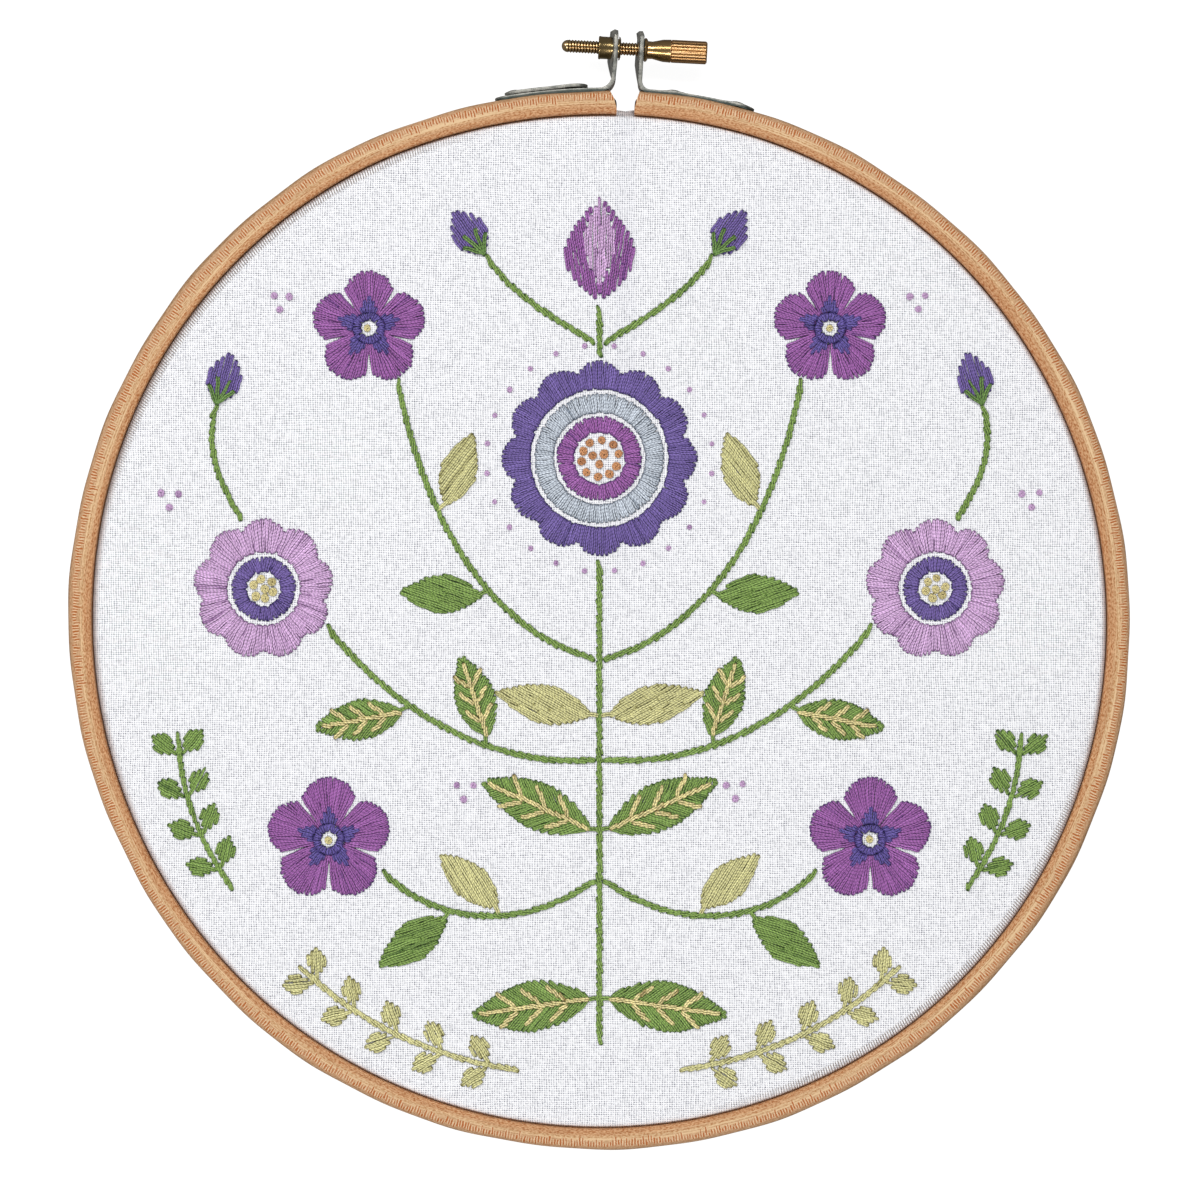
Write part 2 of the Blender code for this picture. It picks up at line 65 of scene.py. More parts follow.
LIGHTS = (      # name, place, size, power and colour
    ("far_strip", (0, light_y, light_z), (0.80, 0.13), 6.1, (1, 1, 1)),
    ("near_strip", (0, -light_y, light_z), (0.80, 0.13), 6.1, (1, 1, 1)),
    ("key_light", (-0.74, 0.44, 0.66), (0.32, 0.32), 2.6, (1.0, 0.985, 0.965)),
)
SKY = {"Color": (0.97, 0.985, 1, 1), "Strength": 0.19}
TABLE = {"Base Color": (0.16, 0.16, 0.16, 1), "Roughness": 0.9, "Emission Color": (1, 1, 1, 1),
         "Emission Strength": 0.95}


def adjust(thing, **settings):
    """Set several of a thing's properties."""
    for key, value in settings.items():
        setattr(thing, key, value)


pixel = HOOP_OUTSIDE / HOOP_RADIUS_PX
off_centre = Vector((PICTURE_SIZE / 2 - HOOP_CENTRE_PX[0], HOOP_CENTRE_PX[1] - PICTURE_SIZE / 2, 0))
aim = HOOP_CENTRE + Matrix.Rotation(HOOP_TURN, 3, "Z") @ off_centre * pixel
camera_height = HOOP_FRONT + PICTURE_SIZE * pixel * LENS / SENSOR
bpy.ops.object.camera_add(location=(aim.x, aim.y, camera_height), rotation=(0, 0, HOOP_TURN))
camera = bpy.context.object
adjust(camera.data, lens=LENS, sensor_width=SENSOR, clip_start=0.01)
bpy.context.scene.camera = camera
bpy.context.scene.view_settings.view_transform = "Standard"

for name, place, (length, width), power, colour in LIGHTS:
    bpy.ops.object.light_add(type="AREA", location=place)
    lamp = bpy.context.object
    lamp.name = name
    lamp.rotation_euler = (HOOP_CENTRE - Vector(place)).to_track_quat("-Z", "Y").to_euler()
    adjust(lamp.data, shape="RECTANGLE", size=length, size_y=width, energy=power, color=colour)


class Value:
    """The output of a shader node, which can be reckoned with like a number."""

    def __init__(self, socket):
        self.socket = socket
        self.tree = socket.id_data

    def maths(self, operation, *others):
        """This value, and any others, through one Math node."""
        return node(self.tree, "Math", 0, dict(enumerate((self, *others))), operation=operation)

    def vector(self, operation, *others, output="Vector"):
        """This vector, and any others, through one Vector Math node."""
        inputs = dict(enumerate((self, *others)))
        return node(self.tree, "VectorMath", output, inputs, operation=operation)

    def __rsub__(self, other):
        return self * -1 + other

    __add__ = partialmethod(maths, "ADD")
    __sub__ = partialmethod(maths, "SUBTRACT")
    __mul__ = partialmethod(maths, "MULTIPLY")
    __truediv__ = partialmethod(maths, "DIVIDE")


def connect(made, inputs):
    """Set a node's inputs; those that are another node's output are linked."""
    for key, value in inputs.items():
        if isinstance(value, Value):
            made.id_data.links.new(value.socket, made.inputs[key])
        else:
            made.inputs[key].default_value = value


def node(tree, kind, output, inputs=None, **settings):
    """Add a shader node and give one of its outputs."""
    made = tree.nodes.new("ShaderNode" + kind)
    adjust(made, **settings)
    connect(made, inputs or {})
    return Value(made.outputs[output])


def new_material(name, inputs):
    """A Principled material with these inputs set, its node tree and its shader."""
    made = bpy.data.materials.new(name)
    made.use_nodes = True
    shader = made.node_tree.nodes["Principled BSDF"]
    connect(shader, inputs)
    return made, made.node_tree, shader


world = bpy.data.worlds.new("studio")
world.use_nodes = True
connect(world.node_tree.nodes["Background"], SKY)
bpy.context.scene.world = world
bpy.ops.object.select_all(action="DESELECT")
bpy.ops.mesh.primitive_plane_add(size=6, location=(0, 0, -0.0001))
floor = bpy.context.object
floor.name = "floor"
floor.data.materials.append(new_material("white_table", TABLE)[0])
floor.visible_glossy = False

# ---------------------------------------------------------------- inner hoop
# A closed ring of bent beech strip, its ends scarfed and glued.  The cloth is laid over it,
# so it only shows from behind.
RING_STEPS = 256
RING_BREAK = 0.8 * MM
OVAL_SHARE = 0.0025         # bentwood is never quite round
OVAL_ANGLE = radians(140)
CORNER_SHARE = 0.0012
CORNER_ANGLE = radians(11)
CLAMP_FLAT = 0.58 * MM      # and it is flatter near the clamp
CLAMP_MIDDLE = radians(98)
CLAMP_REACH = radians(26)
THIN_FOOT = 0.52 * MM       # the outer hoop is this much thinner opposite the clamp
FLECK_SPACE = 0.56          # between the wood's ray flecks, in millimetres
inner_low, inner_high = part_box("inner_hoop")
INNER_OUTSIDE = (inner_high.x - inner_low.x) / 2
INNER_WIDTH = 5.0 * MM
INNER_INSIDE = INNER_OUTSIDE - INNER_WIDTH
INNER_FRONT = inner_high.z


def finish_faces(angle):
    """Turn the active piece's faces outwards, and smooth edges up to an angle in degrees."""
    bpy.ops.object.mode_set(mode="EDIT")
    bpy.ops.mesh.select_all(action="SELECT")
    bpy.ops.mesh.normals_make_consistent(inside=False)
    bpy.ops.object.mode_set(mode="OBJECT")
    bpy.ops.object.shade_smooth_by_angle(angle=radians(angle))


def turn_section(name, section, steps, on_axis=False):
    """Spin a section of (radius, height) points round Z into a closed mesh."""
    bpy.ops.object.select_all(action="DESELECT")
    bpy.ops.mesh.primitive_circle_add(vertices=len(section), radius=0.01)
    made = bpy.context.object
    made.name = name
    for vert, (radius, height) in zip(made.data.vertices, section):
        vert.co = (radius, 0, height)
    bpy.ops.object.mode_set(mode="EDIT")
    bpy.ops.mesh.select_all(action="SELECT")
    bpy.ops.mesh.spin(steps=steps, angle=2 * pi, center=(0, 0, 0), axis=(0, 0, 1))
    bpy.ops.mesh.select_all(action="SELECT")
    bpy.ops.mesh.remove_doubles(threshold=0.0005 * MM)
    if on_axis:
        bpy.ops.mesh.delete_loose(use_verts=True, use_edges=True, use_faces=False)
    finish_faces(40)
    return made


def oval(radius, angle, inner=0.0):
    """The real radius at an angle from +X of what would be a circle.

    Inner is 1 for what lies inside the outer hoop, 0 for its outer face."""
    off = (angle - CLAMP_MIDDLE + pi) % (2 * pi) - pi
    flat = CLAMP_FLAT * max(0.0, 1 - (off / CLAMP_REACH) ** 2) ** 2
    foot = THIN_FOOT * inner * min(1.0, max(0.0, -1.3 * sin(angle)))
    bent = OVAL_SHARE * cos(2 * (angle - OVAL_ANGLE)) - CORNER_SHARE * cos(4 * (angle - CORNER_ANGLE))
    return radius * (1 + bent + (foot - flat) / HOOP_OUTSIDE)


def arc(centre, radius, start, end, steps):
    """Points of an arc of a section, angles in degrees."""
    angles = [radians(start + (end - start) * k / steps) for k in range(steps + 1)]
    return [(centre[0] + radius * cos(a), centre[1] + radius * sin(a)) for a in angles]


def place_mesh(made, matrix):
    """Put a piece's place into its mesh, so that the object stays at the origin."""
    made.data.transform(matrix)
    made.data.update()


def axes(vector):
    """A vector's three parts."""
    first = node(vector.tree, "SeparateXYZ", 0, {0: vector})
    return [Value(output) for output in first.socket.node.outputs]


def combine(x, y, z=0.0):
    """A vector from its parts."""
    return node(x.tree, "CombineXYZ", 0, {0: x, 1: y, 2: z})


def noise(place, scale, detail=2.0, roughness=0.5):
    """Noise from 0 to 1."""
    inputs = {"Vector": place, "Scale": scale, "Detail": detail, "Roughness": roughness}
    return node(place.tree, "TexNoise", 0, inputs)


def fade(value, low, high):
    """Smooth step from 0 at low to 1 at high."""
    inputs = {0: value, 1: low, 2: high}
    return node(value.tree, "MapRange", 0, inputs, interpolation_type="SMOOTHSTEP")


def ramp(value, *stops):
    """Colour ramp through stops of (position, linear colour)."""
    colour = node(value.tree, "ValToRGB", "Color", {"Fac": value})
    elements = colour.socket.node.color_ramp.elements
    while len(elements) < len(stops):
        elements.new(0.5)
    for element, (position, tint) in zip(elements, stops):
        element.position = position
        element.color = (*tint, 1)
    return colour


def paint(red, green, blue):
    """Linear colour from the everyday 0 to 255 scale."""
    return tuple((value / 255) ** 2.2 for value in (red, green, blue))


def painted(value, *stops):
    """Colour ramp through stops of (position, red, green, blue)."""
    return ramp(value, *((position, paint(*colour)) for position, *colour in stops))


def mix(factor, first, second, blend="MIX"):
    """Blend one colour with another by a factor."""
    inputs = {0: factor, 6: first, 7: second if isinstance(second, Value) else (*second, 1)}
    return node(first.tree, "Mix", 2, inputs, data_type="RGBA", blend_type=blend)


def relief(height, strength, distance):
    """Surface normals that follow a height."""
    inputs = {"Height": height, "Strength": strength, "Distance": distance}
    return node(height.tree, "Bump", 0, inputs)


def from_centre(place):
    """The parts of a place as measured from the hoop's middle."""
    return axes(place.vector("SUBTRACT", HOOP_CENTRE))


def hoop_radius(place):
    """Distance from the hoop's middle, with the flatter part near the clamp evened out."""
    x, y, _ = from_centre(place)
    off = (x.maths("ARCTAN2", y) + (CLAMP_MIDDLE - pi / 2)) / CLAMP_REACH
    flat = (1 - off * off).maths("MAXIMUM", 0.0)
    return (x * x + y * y).maths("SQRT") + flat * flat * CLAMP_FLAT


def beech_material(name, inside, outside):
    """Bent beech strip: grain round the ring, and a row of short ray flecks across its edge."""
    made, tree, shader = new_material(name, {"Roughness": 0.50, "Specular IOR Level": 0.30})
    place = node(tree, "TexCoord", "Object")
    x, y, depth = from_centre(place)
    radius = hoop_radius(place) / MM
    run = x.maths("ARCTAN2", y * -1) * (outside / MM)

    def grain(along, across, detail=2.0, roughness=0.5):
        vector = combine(run * along, radius * across, depth * (across / MM))
        return noise(vector, 1.0, detail, roughness)

    share = (outside / MM - radius) / ((outside - inside) / MM)
    band = share + (grain(0.035, 0.0) * 0.26 - 0.13)
    colour = painted(
        band, (0.00, 161, 126, 92), (0.07, 189, 150, 114), (0.16, 189, 146, 110), (0.22, 197, 156, 118),
        (0.48, 198, 156, 116), (0.53, 206, 168, 127), (0.60, 201, 161, 120), (0.67, 193, 145, 104),
        (0.92, 190, 139, 98), (1.00, 187, 135, 96))
    fibre = grain(0.09, 5.5, 4.0, 0.65)
    long_grain = ramp(fibre, (0.32, (0.76, 0.70, 0.64)), (0.60, (1.08, 1.09, 1.10)))
    short_grain = ramp(grain(1.8, 3.7, 1.0, 0.6), (0.34, (0.72, 0.47, 0.25)), (0.45, (0.92, 0.82, 0.70)),
                       (0.53, (1.06, 1.09, 1.08)), (0.64, (1.26, 1.38, 1.50)))
    colour = mix(0.70, colour, long_grain, "MULTIPLY")
    colour = mix(fade(band, 0.45, 0.70) * 0.50 + 0.50, colour, short_grain, "MULTIPLY")
    cream = fade(grain(0.035, 4.4, 1.0), 0.52, 0.60) * fade(band, 0.36, 0.46) * fade(band, 0.80, 0.62)
    colour = mix(cream * 0.80, colour, paint(230, 196, 152))

    cell = run / FLECK_SPACE + (grain(1.3, 0.7) - 0.5)
    draw = node(tree, "TexWhiteNoise", "Color", {"W": cell.maths("FLOOR")}, noise_dimensions="1D")
    chance, start, length = axes(draw)
    start = start * 0.12 + 0.13
    length = length * 0.22 + 0.14
    within = fade(band - start, -0.02, 0.03) * fade(start + length - band, -0.02, 0.03)
    from_middle = (cell.maths("FRACT") - 0.5).maths("ABSOLUTE")
    patch = fade(grain(0.11, 0.0), 0.34, 0.50) * 0.35 + 0.65
    fleck = fade(from_middle, 0.34, 0.16) * within * fade(chance, -0.30, 0.35) * patch * 0.95
    between = fade(from_middle, 0.27, 0.42) * within
    colour = mix(between * 0.80, colour, paint(230, 198, 160))
    colour = mix(fleck, colour, paint(172, 94, 38))
    connect(shader, {"Base Color": colour, "Normal": relief(fleck * -0.5 + fibre, 0.4, 0.10 * MM)})
    return made


ring_corners = (
    (INNER_INSIDE + RING_BREAK, RING_BREAK, 270),
    (INNER_INSIDE + RING_BREAK, INNER_FRONT - RING_BREAK, 180),
    (INNER_OUTSIDE - RING_BREAK, INNER_FRONT - RING_BREAK, 90),
    (INNER_OUTSIDE - RING_BREAK, RING_BREAK, 0),
)
inner_section = []
for across, height, start in ring_corners:
    inner_section += arc((across, height), RING_BREAK, start, start - 90, 3)
inner_ring = turn_section("inner_ring", inner_section, RING_STEPS)
for vert in inner_ring.data.vertices:
    stretch = oval(1, atan2(vert.co.y, vert.co.x), 1)
    vert.co.x *= stretch
    vert.co.y *= stretch
place_mesh(inner_ring, AT_CENTRE)
inner_ring.data.materials.append(beech_material("beech_inner", INNER_INSIDE, INNER_OUTSIDE))
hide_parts("inner_hoop")
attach(inner_ring, "hoop")

# ---------------------------------------------------------------- cloth
# One disc of white plain-woven cloth, pulled drum-tight over the inner ring, down between the
# two rings and out at the back, where its trimmed edge shows past the rim in three places and
# is cut short at the split.
CLOTH_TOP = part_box("cloth")[1].z
CLOTH_OUTSIDE = INNER_OUTSIDE + 1.3 * MM
CLOTH_THICK = 0.45 * MM
CLOTH_STEPS = 360
FACE_ROWS = 26
SHOULDER = 1.3 * MM
MARGIN_TURN = 1.2 * MM
MARGIN_LIFT = 0.5 * MM
MARGIN_REACH = 104.9
MARGIN_PEEKS = (        # angle, half width in degrees, and reach in millimetres
    (90.0, 2.4, 102.8),
    (124.7, 6.0, 106.9),
    (233.3, 3.0, 106.6),
    (253.8, 2.5, 106.5),
)
WARP_PITCH = 0.47 * MM      # the warp stands upright in the picture
WEFT_PITCH = 0.43 * MM
RIB_SPACE = 0.55 * MM
FLAT_SCALE = 5              # the flat cloth's map has 200 mm to a unit


def margin_reach(angle):
    """How far out the trimmed edge lies at an angle round the hoop, in degrees."""
    reach = MARGIN_REACH + 0.10 * sin(radians(angle) * 61) + 0.08 * sin(radians(angle) * 97 + 1)
    for middle, half_width, peek in MARGIN_PEEKS:
        off = (angle - middle + 180) % 360 - 180
        reach += (peek - MARGIN_REACH) * exp(-(off / half_width) ** 2)
    return reach * MM


def running(points):
    """Length from the first of a line of points to each of them."""
    steps = np.linalg.norm(np.diff(np.array(points), axis=0), axis=1)
    return np.concatenate([[0.0], np.cumsum(steps)])


def grid_faces(rows, columns):
    """Faces between the rows of a grid that closes round on itself."""
    index = np.arange(rows * columns).reshape(rows, columns)
    after = np.roll(index, -1, axis=1)
    return np.stack([index[:-1], index[1:], after[1:], after[:-1]], -1).reshape(-1, 4).tolist()


def modify(made, kind, **settings):
    """Put a modifier on a piece and apply it."""
    adjust(made.modifiers.new(kind, kind), **settings)
    bpy.context.view_layer.objects.active = made
    bpy.ops.object.modifier_apply(modifier=kind)


def mesh_piece(name, verts, faces):
    """A new, active piece from its points and faces."""
    mesh = bpy.data.meshes.new(name)
    mesh.from_pydata(verts, [], faces)
    made = bpy.data.objects.new(name, mesh)
    bpy.context.scene.collection.objects.link(made)
    bpy.ops.object.select_all(action="DESELECT")
    bpy.context.view_layer.objects.active = made
    made.select_set(True)
    return made


def map_verts(mesh, name, places):
    """Give a mesh a map with one place on it for each vertex."""
    corners = np.zeros(len(mesh.loops), int)
    mesh.loops.foreach_get("vertex_index", corners)
    mesh.uv_layers.new(name=name).data.foreach_set("uv", places[corners].ravel())


def weave_material(name):
    """Plain weave drawn on the flat cloth's own map: slubby threads over and under each other.

    On the bias the threads bunch into ribs where the cloth turns down over the inner hoop, drawn as
    stripes of painted shade; near the outer hoop a painted shadow darkens the cloth."""
    looks = {"Roughness": 0.88, "Sheen Weight": 0.15, "Specular IOR Level": 0.2}
    made, tree, shader = new_material(name, looks)
    flat = node(tree, "UVMap", "UV", uv_map="flat_cloth")
    soft = node(tree, "TexNoise", "Color", {"Vector": flat, "Scale": 26.0, "Detail": 2.0})
    most = WARP_PITCH * FLAT_SCALE * 1.3
    sway = soft.vector("SUBTRACT", (0.5, 0.5, 0.5)).vector("MULTIPLY", (most, most, most))
    per_thread = (1 / (WARP_PITCH * FLAT_SCALE), 1 / (WEFT_PITCH * FLAT_SCALE), 0)
    thread = flat.vector("ADD", sway).vector("MULTIPLY", per_thread)
    warp, weft, _ = axes(thread)

    def wave(count, other):
        """Thread count with unequal spaces, which stay the same for a few threads' length."""
        return ((noise(combine(count, other * 0.25), 0.75, 1.0) * 0.5 + count) * pi).maths("SINE")

    def yarn(across, over, round_off):
        """Height of the threads of one way, most where they lie over the others."""
        return across.maths("ABSOLUTE").maths("POWER", round_off) * (over * 0.42 + 0.58)

    def slub(x_scale, y_scale):
        return noise(thread.vector("MULTIPLY", (x_scale, y_scale, 1)), 1.0, 1.0)

    wave_x, wave_y = wave(warp, weft), wave(weft, warp)
    warp_over = wave_y * wave_x.maths("SIGN")
    weft_over = wave_x * wave_y.maths("SIGN") * -1
    height = yarn(wave_x, warp_over, 1.0).maths("MAXIMUM", yarn(wave_y, weft_over, 0.7))
    crossing = thread.vector("ADD", (0.5, 0.5, 0)).vector("FLOOR")
    draw = node(tree, "TexWhiteNoise", "Value", {"Vector": crossing}, noise_dimensions="2D")
    level = (slub(0.9, 0.15) + slub(0.15, 0.9) - 1) * 0.20 + height
    level = (draw - 0.5) * 0.16 + level
    # The lower a thread lies, the darker it is painted: painted shade between the threads.
    colour = painted(
        level, (0.06, 138, 139, 147), (0.32, 172, 173, 181), (0.47, 233, 234, 240), (0.80, 254, 254, 255))
    # The gaps where threads cross are painted dark: painted shade seen through the cloth.
    near_x, near_y = (1 - across.maths("ABSOLUTE") for across in (wave_x, wave_y))
    hole = near_x * near_y.maths("POWER", 1.5) * fade(draw, 0.75, 0.1)
    colour = mix(hole, colour, paint(80, 80, 86))

    spread = flat.vector("LENGTH", output="Value") / (MM * FLAT_SCALE)
    flat_x, flat_y, _ = axes(flat)
    angle = flat_y.maths("ARCTAN2", flat_x)
    towards = angle.maths("COSINE")
    # Painted shadow of the outer hoop on the cloth where it turns down: widest on the left, less on the
    # right, least at top and bottom.
    shade_reach = towards * towards * 0.8 + towards * -0.2 + (spread - 0.6)
    shade = ramp(shade_reach * 0.4 - 40.0, (0.04, (1, 1, 1)), (0.24, (0.82, 0.79, 0.78)),
                 (0.42, (0.68, 0.63, 0.61)), (0.90, (0.54, 0.49, 0.47)))
    # At the split, where no outer hoop stands over the cloth, the painted shadow is lifted almost to white.
    beside = flat_x / (MM * FLAT_SCALE) - CLOTH_OUTSIDE / MM * sin(HOOP_TURN)
    uncovered = fade(beside.maths("ABSOLUTE"), 2.4, 1.6) * fade(flat_y, 0, 0.1)
    shade = mix(uncovered * 0.85, shade, (0.95, 0.95, 0.96))
    colour = mix(1.0, colour, shade, "MULTIPLY")
    # Ribs on the bias: dark stripes of painted shade in the creases of the bunched cloth, with no shape of
    # their own.
    bias = (angle * 2).maths("SINE") * -1
    slant = angle * (2 * pi * CLOTH_OUTSIDE / RIB_SPACE) + spread * 1.8
    turned_down = fade(spread, 99.2, 99.8) * fade(spread, 101.9, 100.9)
    rib = fade(slant.maths("SINE"), -0.2, 0.6) * turned_down * fade(bias, 0.25, 0.85)
    colour = mix(rib * 0.80, colour, paint(124, 110, 100))
    connect(shader, {"Base Color": colour, "Normal": relief(level, 0.6, 0.10 * MM)})
    return made


face_edge = CLOTH_OUTSIDE - SHOULDER
margin_back = MARGIN_LIFT + CLOTH_THICK
cloth_section = [(0.0001 * MM + face_edge * k / FACE_ROWS, CLOTH_TOP) for k in range(FACE_ROWS)]
cloth_section += arc((face_edge, CLOTH_TOP - SHOULDER), SHOULDER, 90, 0, 8)
cloth_section += arc((CLOTH_OUTSIDE + MARGIN_TURN, margin_back + MARGIN_TURN), MARGIN_TURN, 180, 270, 5)
cloth_section += [(MARGIN_REACH * MM, margin_back)]
lengths = running(cloth_section)
radii, heights = np.array(cloth_section).T
angles = np.linspace(0, 2 * pi, CLOTH_STEPS, endpoint=False)
reach = np.repeat(radii[:, None], CLOTH_STEPS, axis=1)
reach[-1] = [margin_reach(degrees) for degrees in np.degrees(angles)]
reach *= [oval(1, angle, 1) for angle in angles]
grid = [reach * np.cos(angles), reach * np.sin(angles), np.broadcast_to(heights[:, None], reach.shape)]
sheet_faces = grid_faces(len(cloth_section), CLOTH_STEPS) + [tuple(range(CLOTH_STEPS))]
cloth_sheet = mesh_piece("cloth_sheet", np.stack(grid, -1).reshape(-1, 3).tolist(), sheet_faces)
along_warp, along_weft = (np.outer(lengths, way(angles - HOOP_TURN)).ravel() for way in (np.sin, np.cos))
map_verts(cloth_sheet.data, "flat_cloth", np.stack([along_weft, along_warp], 1) * FLAT_SCALE)
place_mesh(cloth_sheet, AT_CENTRE)
modify(cloth_sheet, "SOLIDIFY", thickness=CLOTH_THICK, offset=-1)
bpy.ops.object.shade_smooth_by_angle(angle=radians(50))
cloth_sheet.data.materials.append(weave_material("plain_weave"))
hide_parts("cloth")
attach(cloth_sheet, "hoop")

# ---------------------------------------------------------------- outer hoop
# A split ring of bent beech strip with rounded front edges, clamped round the cloth.  Its
# outline wanders a little, as sanded bentwood does, and its sawn ends are rough.
OUTER_INSIDE = CLOTH_OUTSIDE + 0.12 * MM
OUTER_BACK = hoop_low.z
OUTER_ROUND = 1.6 * MM
OUTER_STEPS = 420
INNER_ROUND = 0.45 * MM
SPLIT_SHARES = (0.0, 0.30, 0.45, 0.55, 0.62, 0.68, 0.85, 1.0)     # of the way out through the wood
SPLIT_LEFT = (1.73, 1.74, 1.80, 1.95, 2.25, 2.45, 2.95, 3.26)     # half the split there, millimetres
SPLIT_RIGHT = (1.87, 1.80, 1.84, 1.90, 1.98, 2.38, 2.52, 2.69)
SPLIT_REACH = radians(6)
PRESSED_FOOT = 0.10 * MM    # opposite the clamp the wood presses the cloth flat

outer_width = HOOP_OUTSIDE - OUTER_INSIDE
front_flat = outer_width - OUTER_ROUND - INNER_ROUND
outer_section = [(OUTER_INSIDE + RING_BREAK, OUTER_BACK), (OUTER_INSIDE, OUTER_BACK + RING_BREAK)]
outer_section += arc((OUTER_INSIDE + INNER_ROUND, HOOP_FRONT - INNER_ROUND), INNER_ROUND, 180, 90, 5)
outer_section += [(OUTER_INSIDE + INNER_ROUND + front_flat * k / 5, HOOP_FRONT) for k in range(1, 5)]
outer_section += arc((HOOP_OUTSIDE - OUTER_ROUND, HOOP_FRONT - OUTER_ROUND), OUTER_ROUND, 90, 0, 6)
outer_section += [(HOOP_OUTSIDE, OUTER_BACK + RING_BREAK), (HOOP_OUTSIDE - RING_BREAK, OUTER_BACK)]
start_angle = asin(SPLIT_RIGHT[1] * MM / OUTER_INSIDE)
ring_verts = []
for angle in np.linspace(start_angle, 2 * pi - start_angle, OUTER_STEPS + 1):
    hand, sawn_end = (1, SPLIT_RIGHT) if angle < pi else (-1, SPLIT_LEFT)
    from_end = min(angle, 2 * pi - angle) - start_angle
    wave = 0.10 * sin(7 * angle + 0.6) + 0.08 * sin(19 * angle) + 0.06 * sin(41 * angle + 2)
    for radius, height in outer_section:
        share = (radius - OUTER_INSIDE) / outer_width
        end_angle = asin(np.interp(share, SPLIT_SHARES, sawn_end) * MM / radius)
        turn = angle + hand * max(0.0, 1 - from_end / SPLIT_REACH) * (end_angle - start_angle)
        pressed = PRESSED_FOOT * (1 - share) * max(0.0, -cos(turn))
        reached = oval(radius, pi / 2 - turn, 1 - share) + wave * share * MM - pressed
        ring_verts.append((reached * sin(turn), reached * cos(turn), height))
count = len(outer_section)
ring_faces = grid_faces(OUTER_STEPS + 1, count)
ring_faces += [tuple(range(count))[::-1], tuple(range(len(ring_verts) - count, len(ring_verts)))]
outer_ring = mesh_piece("outer_ring", ring_verts, ring_faces)
place_mesh(outer_ring, AT_CENTRE)
finish_faces(40)
outer_ring.data.materials.append(beech_material("beech_outer", OUTER_INSIDE, HOOP_OUTSIDE))
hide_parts("outer_hoop")
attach(outer_ring, "hoop")

# ---------------------------------------------------------------- steel strips and rivets
# Zinc-plated strips riveted along the ring, each with its end bent up as a lug for the screw.
# The left one has a second layer folded back over its rivets; the right lug's tip is curled.
STRIP_MIDDLE = (hoop_low.z + hoop_high.z) / 2
STRIP_WIDTH = 7.0 * MM
STEEL = 0.85 * MM
STRIP_RADIUS = HOOP_OUTSIDE + STEEL / 2 - 0.22 * MM
LUG_PLACE = 2.65 * MM
LUG_TIP = hoop_high.y + 11.9 * MM - HOOP_CENTRE.y
LUG_CORNER = 2.2 * MM
LUG_ROOT = 4 * MM           # the lug twists over this length
LUG_BOW = 0.06 * MM
TIP_CURL = ((0.10 * MM, 0.9 * MM), (0.38 * MM, 0))      # how far in and down its last points are
EDGE_BREAK = 0.16 * MM
BEND_STEPS = 8
RIVET_PLACES = (9.6 * MM, 22.6 * MM)
RIVET_HEAD = 1.5 * MM
RIVET_DOME = 0.5 * MM
RIVET_BUMPS = tuple((place, 2.0 * MM, 0.28 * MM) for place in RIVET_PLACES)
FOLD_BUMPS = ((10.5 * MM, 3.0 * MM, 0.22 * MM),)
FOLD_ENDS = (24.6 * MM, 7.8 * MM)
STRIPS = (      # twist is how much further left a lug's hidden edge stands
    {"side": -1, "name": "left", "end": 26.5 * MM, "bend": 2.9 * MM, "twist": 1.1 * MM, "bumps": (),
     "hole": 2.1 * MM, "rivet_seat": 1.35 * STEEL},
    {"side": 1, "name": "right", "end": 26.0 * MM, "bend": 2.1 * MM, "twist": 0.7 * MM,
     "bumps": RIVET_BUMPS, "hole": 1.5 * MM, "rivet_seat": 0.80 * STEEL},
)
screw_low, screw_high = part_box("screw")
nut_low, nut_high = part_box("nut")
SCREW_AXIS = Vector((0, (nut_low.y + nut_high.y) / 2, (nut_low.z + nut_high.z) / 2))


def steel_material(name):
    """Zinc-plated steel: dull grey with cloudy patches, and a painted shade where it meets the wood."""
    made, tree, shader = new_material(name, {"Metallic": 0.85})
    place = node(tree, "TexCoord", "Object")
    cloudy = noise(place, 520.0, 5.0, 0.65)
    colour = painted(
        cloudy, (0.30, 92, 94, 90), (0.46, 136, 136, 130), (0.60, 167, 165, 157), (0.80, 198, 194, 185))
    # Painted shade along the strip where it lies against the wood.
    wood_edge_shade = fade(hoop_radius(place), HOOP_OUTSIDE + 0.45 * MM, HOOP_OUTSIDE + 0.10 * MM)
    colour = mix(wood_edge_shade * 0.85, colour, paint(58, 68, 64))
    scratches = relief(noise(place, 2500.0, 3.0), 0.3, 0.05 * MM)
    connect(shader, {"Base Color": colour, "Roughness": cloudy * 0.35 + 0.34, "Normal": scratches})
    return made


